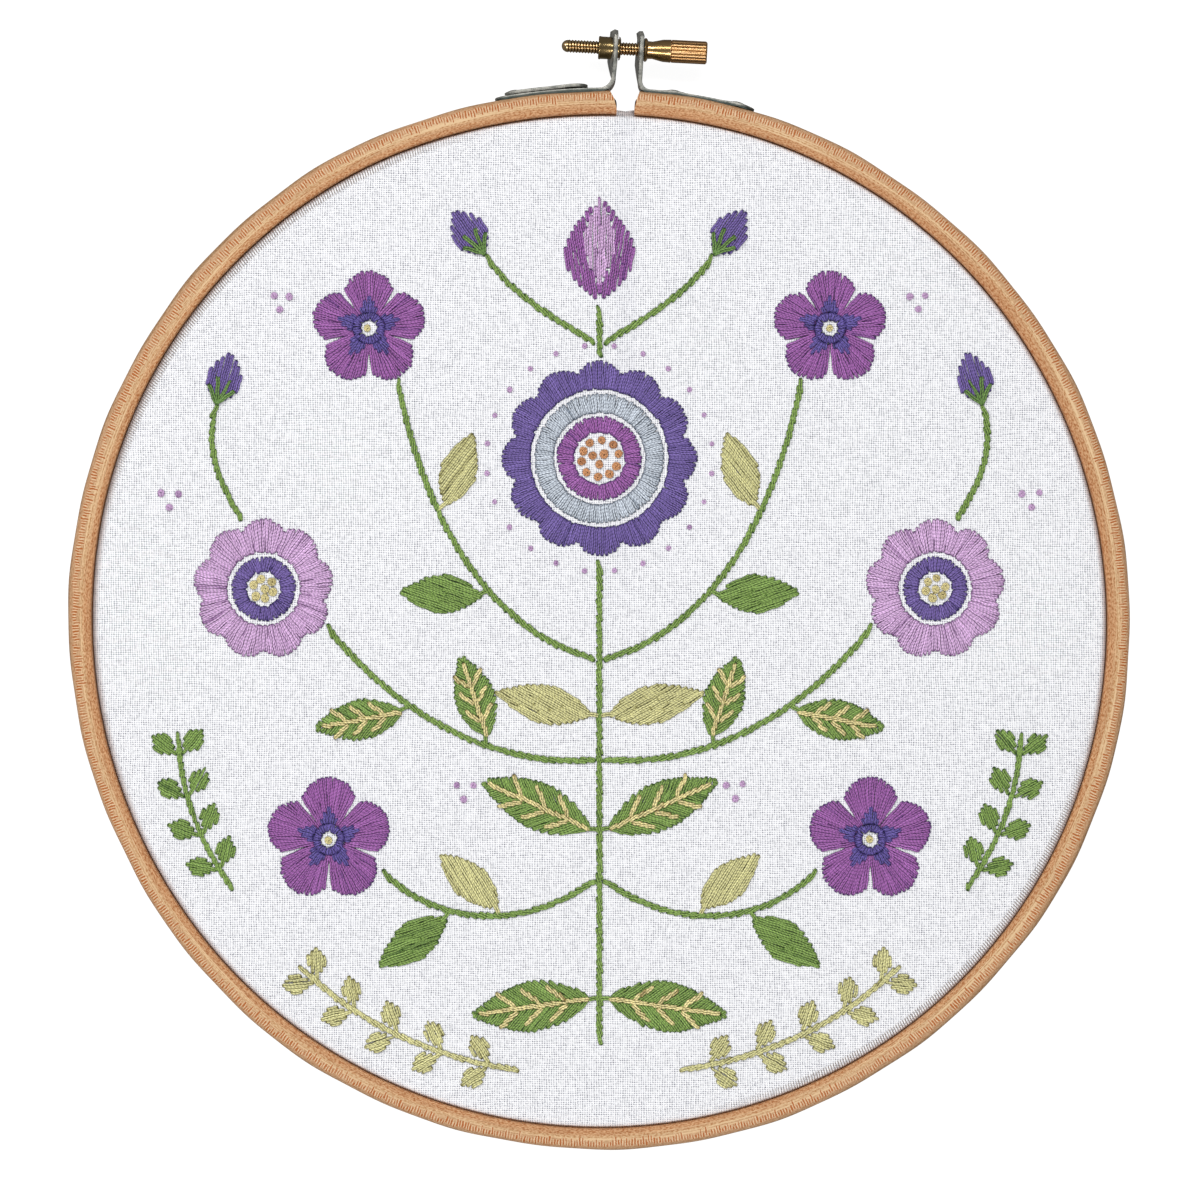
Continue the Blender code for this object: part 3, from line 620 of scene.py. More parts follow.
def bent_sheet(name, path, thickness, lug_start=None, lug_twist=0.0):
    """A strip of sheet steel bent along a path of (x, y) points; past lug_start it is a lug."""
    bpy.ops.object.select_all(action="DESELECT")
    bpy.ops.mesh.primitive_grid_add(x_subdivisions=len(path) - 1, y_subdivisions=10, size=2)
    made = bpy.context.object
    made.name = name
    run = running(path)
    params = np.linspace(-1, 1, len(path))
    for vert in made.data.vertices:
        across = vert.co.y
        x, y, placed = (np.interp(vert.co.x, params, values) for values in (*zip(*path), run))
        corner = max(0.0, LUG_CORNER - min(placed, run[-1] - placed))
        half = STRIP_WIDTH / 2 - LUG_CORNER + sqrt(max(0.0, LUG_CORNER ** 2 - corner ** 2))
        if lug_start is not None:
            lug_share = min(1.0, max(0.0, (placed - lug_start) / LUG_ROOT))
            tip_share = min(1.0, max(0.0, (placed - lug_start) / (run[-1] - lug_start)))
            x += lug_twist * lug_share * (1.6 - 0.8 * tip_share) * (across - 0.75) / 2
        vert.co = (x, y, STRIP_MIDDLE + across * half)
    modify(made, "SOLIDIFY", thickness=thickness, offset=0)
    modify(made, "BEVEL", width=EDGE_BREAK, segments=2, limit_method="ANGLE", angle_limit=radians(50))
    finish_faces(45)
    return made


def ring_arc(radius, start, end, steps, side, lift=()):
    """Points along the ring from one distance from the split to another, with small bumps."""
    points = []
    for place in np.linspace(start, end, steps + 1):
        bump = sum(height * exp(-((place - middle) / reach) ** 2) for middle, reach, height in lift)
        spread = oval(radius, pi / 2 - side * place / radius) + bump
        points.append((spread * sin(place / radius), spread * cos(place / radius)))
    return points


def drill_x(made, radius, place):
    """Drill a round hole along X through a piece."""
    bpy.ops.object.select_all(action="DESELECT")
    bpy.ops.mesh.primitive_cylinder_add(vertices=40, radius=radius, depth=5 * MM, location=place,
                                        rotation=(0, pi / 2, 0))
    bit = bpy.context.object
    modify(made, "BOOLEAN", object=bit)
    bpy.data.objects.remove(bit)


zinc = steel_material("zinc_plate")
for strip in STRIPS:
    side, bend = strip["side"], strip["bend"]
    path = ring_arc(STRIP_RADIUS, strip["end"], LUG_PLACE + bend, 40, side, strip["bumps"])
    bend_y = path[-1][1] + bend
    path += arc((LUG_PLACE + bend, bend_y), bend, -90, -180, BEND_STEPS)[1:]
    lug_start = running(path)[-1]
    for share in np.arange(1, BEND_STEPS + 1) / BEND_STEPS:
        path.append((LUG_PLACE - LUG_BOW * sin(pi * share), bend_y + (LUG_TIP - bend_y) * share))
    if side > 0:
        tip_x, tip_y = path.pop()
        path += [(tip_x - inward, tip_y - down) for inward, down in TIP_CURL]
    seen_path = [(side * x, y) for x, y in path]
    bracket = bent_sheet("strip_" + strip["name"], seen_path, STEEL, lug_start, strip["twist"])
    place_mesh(bracket, AT_CENTRE)
    drill_x(bracket, strip["hole"], Vector((side * LUG_PLACE, SCREW_AXIS.y, SCREW_AXIS.z)))
    bracket.data.materials.append(zinc)
    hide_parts("bracket_" + strip["name"])
    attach(bracket, "hoop")

fold_path = ring_arc(STRIP_RADIUS + STEEL, *FOLD_ENDS, 30, -1, FOLD_BUMPS)
fold = bent_sheet("strip_left_fold", [(-x, y) for x, y in fold_path], STEEL * 0.75)
place_mesh(fold, AT_CENTRE)
fold.data.materials.append(zinc)
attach(fold, "hoop")

for strip in STRIPS:
    for order, place in enumerate(RIVET_PLACES, start=1):
        side, turn = strip["side"], place / STRIP_RADIUS
        seat = oval(STRIP_RADIUS, pi / 2 - side * turn) + strip["rivet_seat"]
        dome = [(0, seat - 1.2 * MM), (0.8 * MM, seat - 1.2 * MM), (0.8 * MM, seat), (RIVET_HEAD, seat)]
        dome += [(RIVET_HEAD * cos(radians(a)), seat + RIVET_DOME * sin(radians(a)))
                 for a in (20, 40, 60, 75)]
        dome.append((0, seat + RIVET_DOME))
        head = turn_section(f"rivet_head_{strip['name']}_{order}", dome, 32, on_axis=True)
        outward = Vector((side * sin(turn), cos(turn), 0))
        upright = Vector((0, 0, 1)).rotation_difference(outward).to_matrix().to_4x4()
        place_mesh(head, Matrix.Translation(HOOP_CENTRE + Vector((0, 0, STRIP_MIDDLE))) @ upright)
        head.data.materials.append(zinc)
        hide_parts(f"rivet_{strip['name']}_{order}")
        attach(head, "hoop")

# ---------------------------------------------------------------- brass screw and nut
# The screw is turned from one brass bar: threaded rod, shoulder, cone and fluted grip.  The
# nut is a threaded barrel clenched in the left lug.
ROD = 1.3 * MM
ROD_TIP = 1.3 * MM
THREAD_PITCH = 0.60 * MM
THREAD_ROWS = 7
THREAD_DEPTH = 0.22 * MM
FLUTES = 18
FLUTE_DEPTH = 0.11 * MM
SCREW_STEPS = FLUTES * 8
GRIP = 2.3 * MM
GRIP_START = 8.6 * MM
GRIP_ROWS = 8
LUG_FACE = 3.12 * MM        # the right lug's, which the shoulder turns against
NUT_SEAT = -3.4 * MM        # the left lug's
SHOULDER_SHAPE = (      # from here on, each shape is in millimetres: radius, and how far along
    (1.3, 0), (2.16, 0), (2.4, 0.2), (2.352, 0.45), (2.064, 0.7), (1.78, 0.8), (1.74, 1.7))
CONE_SHAPE = ((2.22, -1.7), (2.30, -0.08), (2.05, 0))
GRIP_END_SHAPE = ((2.07, -0.06), (1.932, 0), (0, 0))
NUT_LIP_SHAPE = (
    (1.45, 0), (1.728, 0), (2.208, -0.14), (2.4, -0.36), (2.4, -0.42), (1.9, -0.44))
NUT_SEAT_SHAPE = ((1.9, 0), (2.162, 0), (2.231, -0.2))
NUT_END_SHAPE = ((2.254, 0.5), (2.346, 0.35), (2.3, 0.1), (2.162, 0))


def brass_material(name):
    """Turned brass: dull and brown on the cone and rod, rubbed golden on the grip.

    The rod is lightened with a painted highlight; the hollows of thread and flutes are darkened, partly
    tarnish and partly painted shade.
    """
    made, tree, shader = new_material(name, {"Metallic": 1.0})
    place = node(tree, "TexCoord", "Object")
    along, _, _ = axes(place)
    mottled = noise(place.vector("MULTIPLY", (0.10, 1, 1)), 1100.0)
    aged = painted(mottled, (0.30, 130, 104, 66), (0.50, 176, 141, 92), (0.70, 206, 168, 118))
    rubbed = painted(mottled, (0.30, 196, 150, 102), (0.50, 208, 164, 114), (0.70, 220, 178, 130))
    grip = fade(along, GRIP_START - 0.3 * MM, GRIP_START)
    colour = mix(grip, aged, rubbed)
    from_axis = place.vector("SUBTRACT", SCREW_AXIS).vector("MULTIPLY", (0, 1, 1))
    off_axis = from_axis.vector("LENGTH", output="Value")
    # The rod's colour is lightened: painted highlight on the thread.
    thread = fade(off_axis, ROD * 1.12, ROD * 1.04) * 0.55
    colour = mix(thread, colour, paint(236, 204, 156))
    # Darker in the hollows of thread and flutes: partly tarnish, partly painted shade in the grooves.
    hollow = node(tree, "Attribute", "Fac", attribute_name="hollow")
    hollow_tarnish_and_shade = ramp(hollow, (0.16, (1, 1, 1)), (0.70, (0.30, 0.22, 0.13)))
    colour = mix(1.0, colour, hollow_tarnish_and_shade, "MULTIPLY")
    barrel = fade(along, -6.3 * MM, -6.2 * MM) * fade(along, -1.2 * MM, -1.4 * MM)
    barrel = barrel * fade(off_axis, ROD * 1.1, ROD * 1.2)
    colour = mix(barrel * 0.7, colour, paint(150, 132, 94))
    scratches = relief(mottled, 0.015, 0.03 * MM)
    connect(shader, {"Base Color": colour, "Roughness": grip * 0.16 + 0.24, "Normal": scratches})
    return made


def profile(start, shape):
    """Section points from a shape's table, which is measured from start."""
    return [(radius * MM, start + along * MM) for radius, along in shape]


brass = brass_material("turned_brass")
along_x = Matrix.Translation(SCREW_AXIS) @ Matrix.Rotation(pi / 2, 4, "Y")
rod_start = screw_low.x + ROD_TIP
grip_end = screw_high.x
row_step = THREAD_PITCH / THREAD_ROWS
rod_rows = int((LUG_FACE - rod_start) / row_step)
grip_low = GRIP_START + 0.08 * MM
grip_length = grip_end - GRIP_START - 0.38 * MM
screw_section = [(0, screw_low.x)]
screw_section += [(ROD * 0.96 * sin(radians(a)), rod_start - ROD_TIP * cos(radians(a)))
                  for a in range(15, 91, 15)]
screw_section += [(ROD, rod_start + k * row_step) for k in range(1, rod_rows)]
screw_section += profile(LUG_FACE, SHOULDER_SHAPE) + profile(GRIP_START, CONE_SHAPE)
screw_section += [(GRIP, grip_low + grip_length * k / GRIP_ROWS) for k in range(GRIP_ROWS + 1)]
screw_section += profile(grip_end, GRIP_END_SHAPE)
screw_body = turn_section("clamp_screw_brass", screw_section, SCREW_STEPS, on_axis=True)
hollows = []
for vert in screw_body.data.vertices:
    flat, height, angle = hypot(vert.co.x, vert.co.y), vert.co.z, atan2(vert.co.y, vert.co.x)
    hollow, depth = 0.0, 0.0
    if abs(flat - ROD) < 0.01 * MM and height < LUG_FACE - 0.1 * MM:
        turn = height / THREAD_PITCH - angle / (2 * pi)
        hollow, depth = (0.5 - 0.5 * cos(2 * pi * turn)) ** 2, THREAD_DEPTH / ROD
    elif flat > GRIP * 0.97 and height > GRIP_START:
        hollow, depth = (0.5 + 0.5 * cos(angle * FLUTES)) ** 2, FLUTE_DEPTH / GRIP
    vert.co.x *= 1 - depth * hollow
    vert.co.y *= 1 - depth * hollow
    hollows.append(hollow)
screw_body.data.attributes.new("hollow", "FLOAT", "POINT").data.foreach_set("value", hollows)
place_mesh(screw_body, along_x)
screw_body.data.materials.append(brass)
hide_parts("screw")
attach(screw_body, "clamp_screw")

nut_section = profile(nut_low.x, NUT_LIP_SHAPE[:1]) + profile(nut_high.x, NUT_LIP_SHAPE)
nut_section += profile(NUT_SEAT, NUT_SEAT_SHAPE) + profile(nut_low.x, NUT_END_SHAPE)
nut_body = turn_section("nut_brass", nut_section, 64)
place_mesh(nut_body, along_x)
nut_body.data.materials.append(brass)
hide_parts("nut")
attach(nut_body, "hoop")

# ---------------------------------------------------------------- stem-stitched stems
# The design is worked in stranded cotton, two strands in the needle.  Stems come first, in
# stem stitch: each stitch starts half way back along the last one and lies across the line.
DESIGN = AT_CENTRE @ Matrix.Rotation(HOOP_TURN, 4, "Z")
STRAND = 0.225              # radius of one strand; sizes from here on are in millimetres
PAIR = 0.222                # each strand's distance from the stitch's middle line
PLY_TURNS = 1.4             # turns of a strand's two plies in a millimetre
STITCH_SPACE = 0.90         # between neighbouring satin stitches
STRAND_SIDES = 5
ROUND_SHARES = {4: (0, 0.25, 0.5, 0.75), 5: (0, 1 / 6, 1 / 3, 1 / 2, 3 / 4)}   # more sides on top
PADDING = -0.05             # stitches with less lift than this lie under others
LONGEST_CARRY = 30          # a thread is cut off rather than carried this far at the back
UNDER = 0.16                # the ends of stitches go this far down into the cloth
UNDER_BACK = 0.12
UNEVEN = 0.055              # how far off its place the needle goes in
DIVE = 0.55                 # an end of a stitch goes down within this length,
DIVE_SHARE = 0.36           # or within this share of a short stitch
SHORTEST = 0.8
OVER = 0.40                 # lift of stitches that are laid over others
KNOT_TURNS = 2.6
STEM_STEP = 1.55
cloth_top = CLOTH_TOP / MM
cloth_back = (CLOTH_TOP - CLOTH_THICK) / MM
needle = np.random.default_rng(20)
BOTH = ((1, "_right"), (-1, "_left"))       # the sides that a motif is worked on
MIDDLE = ((1, ""),)
STEMS = {
    "stem_main": (MIDDLE, ((0, -85), (0, -50), (0, -20), (0, 11.8))),
    "stem_top": (MIDDLE, ((0, 52.2), (0, 55), (0, 59), (0, 62.6))),
    "stem_up": (BOTH, ((0.8, -8), (18, -4), (34, 14), (40.4, 48.0))),
    "stem_mid": (BOTH, ((0.8, -28), (20, -30), (40, -20), (54.6, -1.2))),
    "stem_low": (BOTH, ((0.8, -52), (14, -62), (32, -62), (43.6, -50.2))),
    "stem_tip": (BOTH, ((0.8, 55), (9, 60), (17, 64), (22.9, 72.6))),
    "stem_side": (BOTH, ((71.2, 19.8), (76, 27), (79, 34), (76.5, 42.8))),
}
FLOSSES = {     # slot, colour, and the colour of the painted shade deep between the strands
    "violet": ("thread_violet", (114, 95, 160), (60, 48, 108)),
    "deep_violet": ("thread_violet", (96, 82, 152), (46, 40, 92)),
    "purple": ("thread_purple", (154, 94, 162), (92, 54, 124)),
    "lilac": ("thread_lilac", (210, 172, 214), (142, 98, 152)),
    "green": ("thread_green", (128, 158, 80), (58, 92, 36)),
    "deep_green": ("thread_green", (104, 138, 72), (46, 76, 32)),
    "olive": ("thread_green", (212, 208, 148), (146, 140, 84)),
    "straw": ("thread_lilac", (226, 212, 150), (150, 130, 74)),
    "slate": ("thread_purple", (194, 202, 212), (118, 130, 146)),
    "ochre": ("thread_lilac", (212, 150, 102), (134, 74, 44)),
}


def tubes(paths, radii, sides, shade):
    """Closed tubes along paths (count, points, 3): verts, quads, end faces, map and shade."""
    count, points, _ = paths.shape
    tangent = np.gradient(paths, axis=1)
    tangent /= np.linalg.norm(tangent, axis=2, keepdims=True)
    side = np.cross(tangent, (0.0, 0.0, 1.0))
    side /= np.maximum(np.linalg.norm(side, axis=2, keepdims=True), 1e-6)
    up = np.cross(side, tangent)
    round_share = np.array(ROUND_SHARES[sides])
    turn = 2 * pi * round_share
    ring = side[:, :, None] * np.cos(turn)[:, None] + up[:, :, None] * np.sin(turn)[:, None]
    verts = paths[:, :, None] + ring * radii[:, :, None, None]
    step = np.linalg.norm(np.diff(paths, axis=1), axis=2)
    run = np.cumsum(np.concatenate([4 * needle.random((count, 1)), step], axis=1), axis=1)
    index = np.arange(count * points * sides).reshape(count, points, sides)
    after = np.roll(index, -1, axis=2)
    quads = np.stack([index[:, :-1], index[:, 1:], after[:, 1:], after[:, :-1]], -1).reshape(-1, 4)
    ends = np.concatenate([index[:, 0], index[:, -1, ::-1]])
    mapped = np.stack(np.broadcast_arrays(run[:, :, None], round_share), -1).reshape(-1, 2)
    return verts.reshape(-1, 3), quads, ends, mapped, np.repeat(shade, sides)


def plied(stitches, seen=True, under=False):
    """Both strands of straight stitches, each stitch a row (x, y, x, y, lift).

    A padding layer and the back of the work are coarser than what is seen."""
    start, end, lift = stitches[:, :2], stitches[:, 2:4], stitches[:, 4:]
    length = np.linalg.norm(end - start, axis=1)[:, None]
    along = (end - start) / length
    across = np.stack([-along[:, 1], along[:, 0]], 1)
    bend = np.minimum(DIVE, DIVE_SHARE * length)
    near = np.array([0.0, 0.30, 1.0] if seen else [0.0, 1.0])
    middle = np.array([0.28, 0.43, 0.57, 0.72] if seen else [0.5])
    place = np.concatenate([near * bend, length * middle, length - near[::-1] * bend], axis=1)
    place = np.sort(place, axis=1)
    from_end = np.minimum(place, length - place) / bend
    rise = np.sqrt(1 - (1 - np.clip(from_end, 0, 1)) ** 2)
    share = place / length
    crown = 0.05 * np.sin(pi * share)
    if under:
        height = cloth_back + UNDER_BACK - (UNDER_BACK + STRAND * 0.8) * rise - crown
    else:
        height = cloth_top - UNDER + (UNDER + STRAND * 0.92 + lift) * rise + crown
    count = (len(start), 1)
    phase = needle.normal(0, 0.40, count) + needle.normal(0, 0.8, count) * (share - 0.5)
    weave = np.sin(place * needle.normal(2.1, 0.5, count) + needle.random(count) * 2 * pi)
    tone = needle.random(count)
    strands, thickness, shade = [], [], []
    for hand in (-1, 1):
        offset = hand * PAIR * np.cos(phase) * (0.30 + 0.70 * rise) + 0.075 * weave * rise
        flat = start[:, None] + along[:, None] * place[:, :, None] + across[:, None] * offset[:, :, None]
        level = height + (hand * 0.09 * np.sin(phase) + 0.02 * weave) * rise
        strands.append(np.concatenate([flat, level[:, :, None]], axis=2))
        thickness.append(STRAND * (0.62 + 0.38 * rise) * needle.normal(1, 0.04, count))
        strand_tone = 0.18 + 0.82 * np.clip(0.45 * tone + 0.55 * needle.random(count), 0, 1)
        # Each strand's tone is darkened towards the stitch's ends: painted shade where it goes down into
        # the cloth.
        shade.append(strand_tone * rise ** 5)
    sides = STRAND_SIDES if seen else 4
    return tubes(np.concatenate(strands), np.concatenate(thickness), sides, np.concatenate(shade))


def french_knots(knots):
    """Thread wound round the needle and pulled down: rows of x, y and size."""
    x, y, size = np.array(knots, float).T[:, :, None]
    turns = np.linspace(0, 1, 30)
    angle = needle.random(len(knots))[:, None] * 2 * pi + turns * 2 * pi * KNOT_TURNS
    spread = size * (0.82 - 0.72 * turns ** 1.1)
    rise = np.clip(turns / 0.12, 0, 1) * 0.22 + 0.30 * turns - 0.5 * np.clip((turns - 0.94) / 0.06, 0, 1)
    height = cloth_top + 0.08 + size * rise
    paths = np.stack([x + spread * np.cos(angle), y + spread * np.sin(angle), height], axis=2)
    radii = np.repeat(0.175 * size, len(turns), axis=1)
    radii[:, 0] *= 0.6
    radii[:, -1] *= 0.7
    tone = 0.25 + 0.45 * needle.random(len(knots))[:, None]
    # The thread's last turn, going down into the knot's middle, is darkened: painted shade.
    return tubes(paths, radii, STRAND_SIDES, tone * (1 - 0.7 * np.clip((turns - 0.90) / 0.10, 0, 1)))


def floss_material(name, colour, between):
    """Stranded cotton: two plies wound into each strand, and broken dark lines of painted shade between
    strands.
    """
    looks = {"Roughness": 0.55, "Sheen Weight": 0.12, "Sheen Roughness": 0.4, "Specular IOR Level": 0.35}
    made, tree, shader = new_material(name, looks)
    run, round_share, _ = axes(node(tree, "UVMap", "UV", uv_map="strand"))
    tone = node(tree, "Attribute", "Fac", attribute_name="tone")

    def along_strand(scale, lane):
        return noise(combine(run * scale, tone * lane), 1.0)

    light = tuple(min(1.0, value * 1.30 + 0.010) for value in colour)
    flank_shade, hole = (tuple(value * share for value in between) for share in (0.62, 0.30))
    level = tone + (along_strand(0.7, 40.0) * 0.36 - 0.18)
    # The lowest levels, at the stitch ends, are the darkest: painted shade in the needle holes.
    body = ramp(level, (0.02, hole), (0.12, between), (0.34, colour), (0.60, colour), (0.95, light))
    # The flanks of each strand are darkened in broken lines: painted shade between the strands.
    top = (round_share * (2 * pi)).maths("SINE")
    broken = fade(along_strand(0.85, 77.0), 0.36, 0.56) * 0.75 + 0.25
    body = mix(fade(top, 0.82, 0.45) * broken, body, flank_shade)
    ply = ((run * PLY_TURNS + round_share) * (2 * pi)).maths("SINE") * 0.5 + 0.5
    # Each ply's groove is darkened and its crest lightened: painted shade and painted highlight.
    ply_shading = ramp(ply, (0.0, (0.66, 0.66, 0.68)), (0.55, (1.0, 1.0, 1.0)), (0.95, (1.10, 1.10, 1.10)))
    body = mix(1.0, body, ply_shading, "MULTIPLY")
    connect(shader, {"Base Color": body, "Normal": relief(ply, 0.5, 0.05 * MM)})
    return made


flosses = {}
for name, (_, colour, between) in FLOSSES.items():
    flosses[name] = floss_material("floss_" + name, paint(*colour), paint(*between))


def sew(name, stitches, floss, cad_nodes=(), knots=(), reverse=True):
    """Make one colour of a motif: its stitches, their return on the back, and any knots."""
    rows = np.array(stitches, float).reshape(-1, 5)
    blocks = []
    if len(rows):
        rows[:, :4] += needle.normal(0, UNEVEN, (len(rows), 4))
        padding = rows[:, 4] < PADDING
        for part, seen in ((~padding, True), (padding, False)):
            if part.any():
                blocks.append(plied(rows[part], seen))
        rows = rows[~padding]
    if reverse and len(rows) > 1:
        back = np.concatenate([rows[:-1, 2:4], rows[1:, 0:2], rows[:-1, 4:]], axis=1)
        length = np.linalg.norm(back[:, :2] - back[:, 2:4], axis=1)
        blocks.append(plied(back[(length > SHORTEST) & (length < LONGEST_CARRY)], seen=False, under=True))
    if len(knots):
        blocks.append(french_knots(knots))
    faces, offset = [], 0
    for block_verts, quads, ends, _, _ in blocks:
        faces += (quads + offset).tolist() + (ends + offset).tolist()
        offset += len(block_verts)
    verts, _, _, mapped, shade = zip(*blocks)
    made = mesh_piece(name, (np.concatenate(verts) * MM).tolist(), faces)
    place_mesh(made, DESIGN)
    map_verts(made.data, "strand", np.concatenate(mapped))
    tone = made.data.attributes.new("tone", "FLOAT", "POINT")
    tone.data.foreach_set("value", np.concatenate(shade))
    made.data.shade_smooth()
    made.data.materials.append(flosses[floss])
    if cad_nodes:
        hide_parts(*cad_nodes)
    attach(made, "hoop")


def bezier(points, t):
    """Place and heading on a cubic curve."""
    a, b, c, d = (Vector(point) for point in points)
    place = a * (1 - t) ** 3 + b * 3 * t * (1 - t) ** 2 + c * 3 * t * t * (1 - t) + d * t ** 3
    slope = (b - a) * (1 - t) ** 2 + (c - b) * 2 * t * (1 - t) + (d - c) * t * t
    return place, atan2(slope.y, slope.x)


def way(heading):
    """One millimetre in a direction."""
    return Vector((cos(heading), sin(heading)))


def left_of(axis):
    """A direction turned a quarter to the left."""
    return Vector((-axis.y, axis.x))


def stem_stitch(points, side, width=1.25):
    """Overlapping slanted stitches along a cubic curve."""
    fine = [bezier(points, k / 60)[0] for k in range(61)]
    run = running(fine)
    wanted = np.linspace(0, run[-1], max(2, round(run[-1] / STEM_STEP)) + 1)
    places = [Vector(place) for place in zip(*(np.interp(wanted, run, part) for part in zip(*fine)))]
    rows = []
    for k in range(len(places) - 1):
        start, end = places[max(k - 1, 0)], places[k + 1]
        if (end - start).length < SHORTEST:
            continue
        across = left_of((end - start).normalized()) * (width * 0.31)
        a, b = start - across, end + across
        rows.append((side * a.x, a.y, side * b.x, b.y, 0.04 + 0.05 * (k % 2)))
    return rows


stem_rows, stem_nodes = [], []
for name, (sides, points) in STEMS.items():
    for side, ending in sides:
        stem_rows += stem_stitch(points, side)
        stem_nodes.append(name + ending)
sew("stems", stem_rows, "green", stem_nodes)

# ---------------------------------------------------------------- leaves
# Long satin stitches that run with the leaf and end raggedly along its edge.  The biggest
# leaves are worked in two halves that slant from a midrib in a paler thread.
LEAVES = (      # stem, place on it, lean from it in degrees, length, width and kind
    ("stem_main", 0.09, -98, 25, 10, "ribbed"),
    ("stem_main", 0.43, -66, 25, 9.5, "ribbed"),
    ("stem_main", 0.67, -76, 20, 7.5, "olive"),
    ("stem_up", 0.44, -46, 17, 7.5, "green"),
    ("stem_up", 0.70, 46, 16, 7, "olive"),
    ("stem_mid", 0.38, 52, 18, 8, "ribbed"),
    ("stem_mid", 0.66, -46, 19, 8, "ribbed"),
    ("stem_low", 0.44, 46, 16, 7, "olive"),
    ("stem_low", 0.66, -50, 17, 7.5, "green"),
)
LEAF_CLEAR = 1.55           # from the stem's middle to the leaf
LEAF_SPACE = 0.84
RAGGED = 0.07               # how unevenly satin stitches end along an edge
PADDING_SLANT = 0.10
RIBBED_SLANT = radians(42)
PLAIN_SLANT = radians(16)
VEIN_PLACES = (0.20, 0.40, 0.60)
VEIN_LEAN = radians(40)
VEIN_STEP = 1.4
VEIN_SLANT = 0.27


def turned_to(points, heading):
    """Points turned round the origin."""
    c, s = cos(heading), sin(heading)
    return [(x * c - y * s, x * s + y * c) for x, y in points]


def fill(outline, heading, longest, space=STITCH_SPACE, lift=0.06):
    """Satin stitches across an outline, all at one heading; long ones become long-and-short."""
    flat = turned_to(outline, -heading)
    low, high = min(y for _, y in flat), max(y for _, y in flat)
    count = max(1, round((high - low) / space))
    rows = []
    for k in range(count):
        y = low + (k + 0.5) * (high - low) / count
        cuts = sorted(x0 + (x1 - x0) * (y - y0) / (y1 - y0)
                      for (x0, y0), (x1, y1) in zip(flat, flat[1:] + flat[:1]) if (y0 - y) * (y1 - y) < 0)
        for left, right in zip(cuts[0::2], cuts[1::2]):
            left += needle.normal(0, RAGGED)
            right += needle.normal(0, RAGGED)
            if right - left < 0.9:
                continue
            pieces = max(1, round((right - left) / longest))
            stagger = 0.22 if k % 2 else -0.22
            inner = [left + (right - left) * (p + stagger) / pieces + needle.normal(0, 0.45)
                     for p in range(1, pieces)]
            for a, b in zip([left] + inner, inner + [right]):
                overlap = 0.25 if a != left else 0
                rows.append(((a - overlap, y), (b, y), lift + needle.normal(0, 0.015)))
    return [(*turned_to([a], heading)[0], *turned_to([b], heading)[0], level) for a, b, level in rows]


def padded_fill(outline, heading, longest):
    """Satin stitches over a lower layer at a slight slant to them, so that no cloth shows."""
    low = fill(outline, heading + PADDING_SLANT, longest, LEAF_SPACE, lift=-0.12)
    return low + fill(outline, heading, longest, LEAF_SPACE)


def drop_outline(start, heading, length, width, fullest=0.45, points=14):
    """Almond outline from its base to its tip, split into its two sides."""
    axis = way(heading)
    upper, lower = [], []
    for k in range(points + 1):
        along = k / points
        bulge = left_of(axis) * sin(pi * along ** (1 / (2 * (1 - fullest)))) * width / 2
        spot = Vector(start) + axis * along * length
        upper.append(tuple(spot + bulge))
        lower.append(tuple(spot - bulge))
    return upper, lower


def flipped(rows, side):
    """The same stitches on one side of the middle or the other."""
    return [(side * x0, y0, side * x1, y1, lift) for x0, y0, x1, y1, lift in rows]


def vein_stitches(start, heading, length):
    """Short stem stitches down a leaf's middle and along a short rib to each side."""
    def line(first, heading, reach):
        axis = way(heading)
        across = left_of(axis) * VEIN_SLANT
        count = round(reach / VEIN_STEP)
        spots = [first + axis * (reach * k / count) for k in range(count + 1)]
        return [(*(a - axis * 0.4 - across), *(b + axis * 0.3 + across), 0.38 + 0.12 * (k % 2))
                for k, (a, b) in enumerate(zip(spots, spots[1:]))]

    rows = line(start + way(heading) * 0.8, heading, length - 3.4)
    for share in VEIN_PLACES:
        spot = start + way(heading) * length * share
        for lean in (-1, 1):
            rows += line(spot + way(heading + lean) * 0.8, heading + lean * VEIN_LEAN, length * 0.17)
    return rows


for order, (stem, at, lean, length, width, kind) in enumerate(LEAVES, start=1):
    place, stem_heading = bezier(STEMS[stem][1], at)
    base = place + way(stem_heading + copysign(pi / 2, lean)) * LEAF_CLEAR
    heading = stem_heading + radians(lean)
    upper, lower = drop_outline(base, heading, length, width)
    ends = [tuple(base + way(heading) * length), tuple(base)]
    stalk = base + way(heading) * 1.4
    main, veins = [], []
    for side, _ in BOTH:
        main.append((side * place.x, place.y, side * stalk.x, stalk.y, 0.10))
        if kind == "ribbed":
            main += flipped(padded_fill(upper + ends, heading + RIBBED_SLANT, 9), side)
            main += flipped(padded_fill(lower + ends, heading - RIBBED_SLANT, 9), side)
            veins += flipped(vein_stitches(base, heading, length), side)
        else:
            main += flipped(padded_fill(lower + upper[::-1], heading + PLAIN_SLANT, 8), side)
    nodes = [f"leaf_{order}{ending}" for _, ending in BOTH]
    sew(f"leaf_{order}", main, "olive" if kind == "olive" else "green", nodes)
    if veins:
        sew(f"leaf_{order}_vein", veins, "straw", reverse=False)

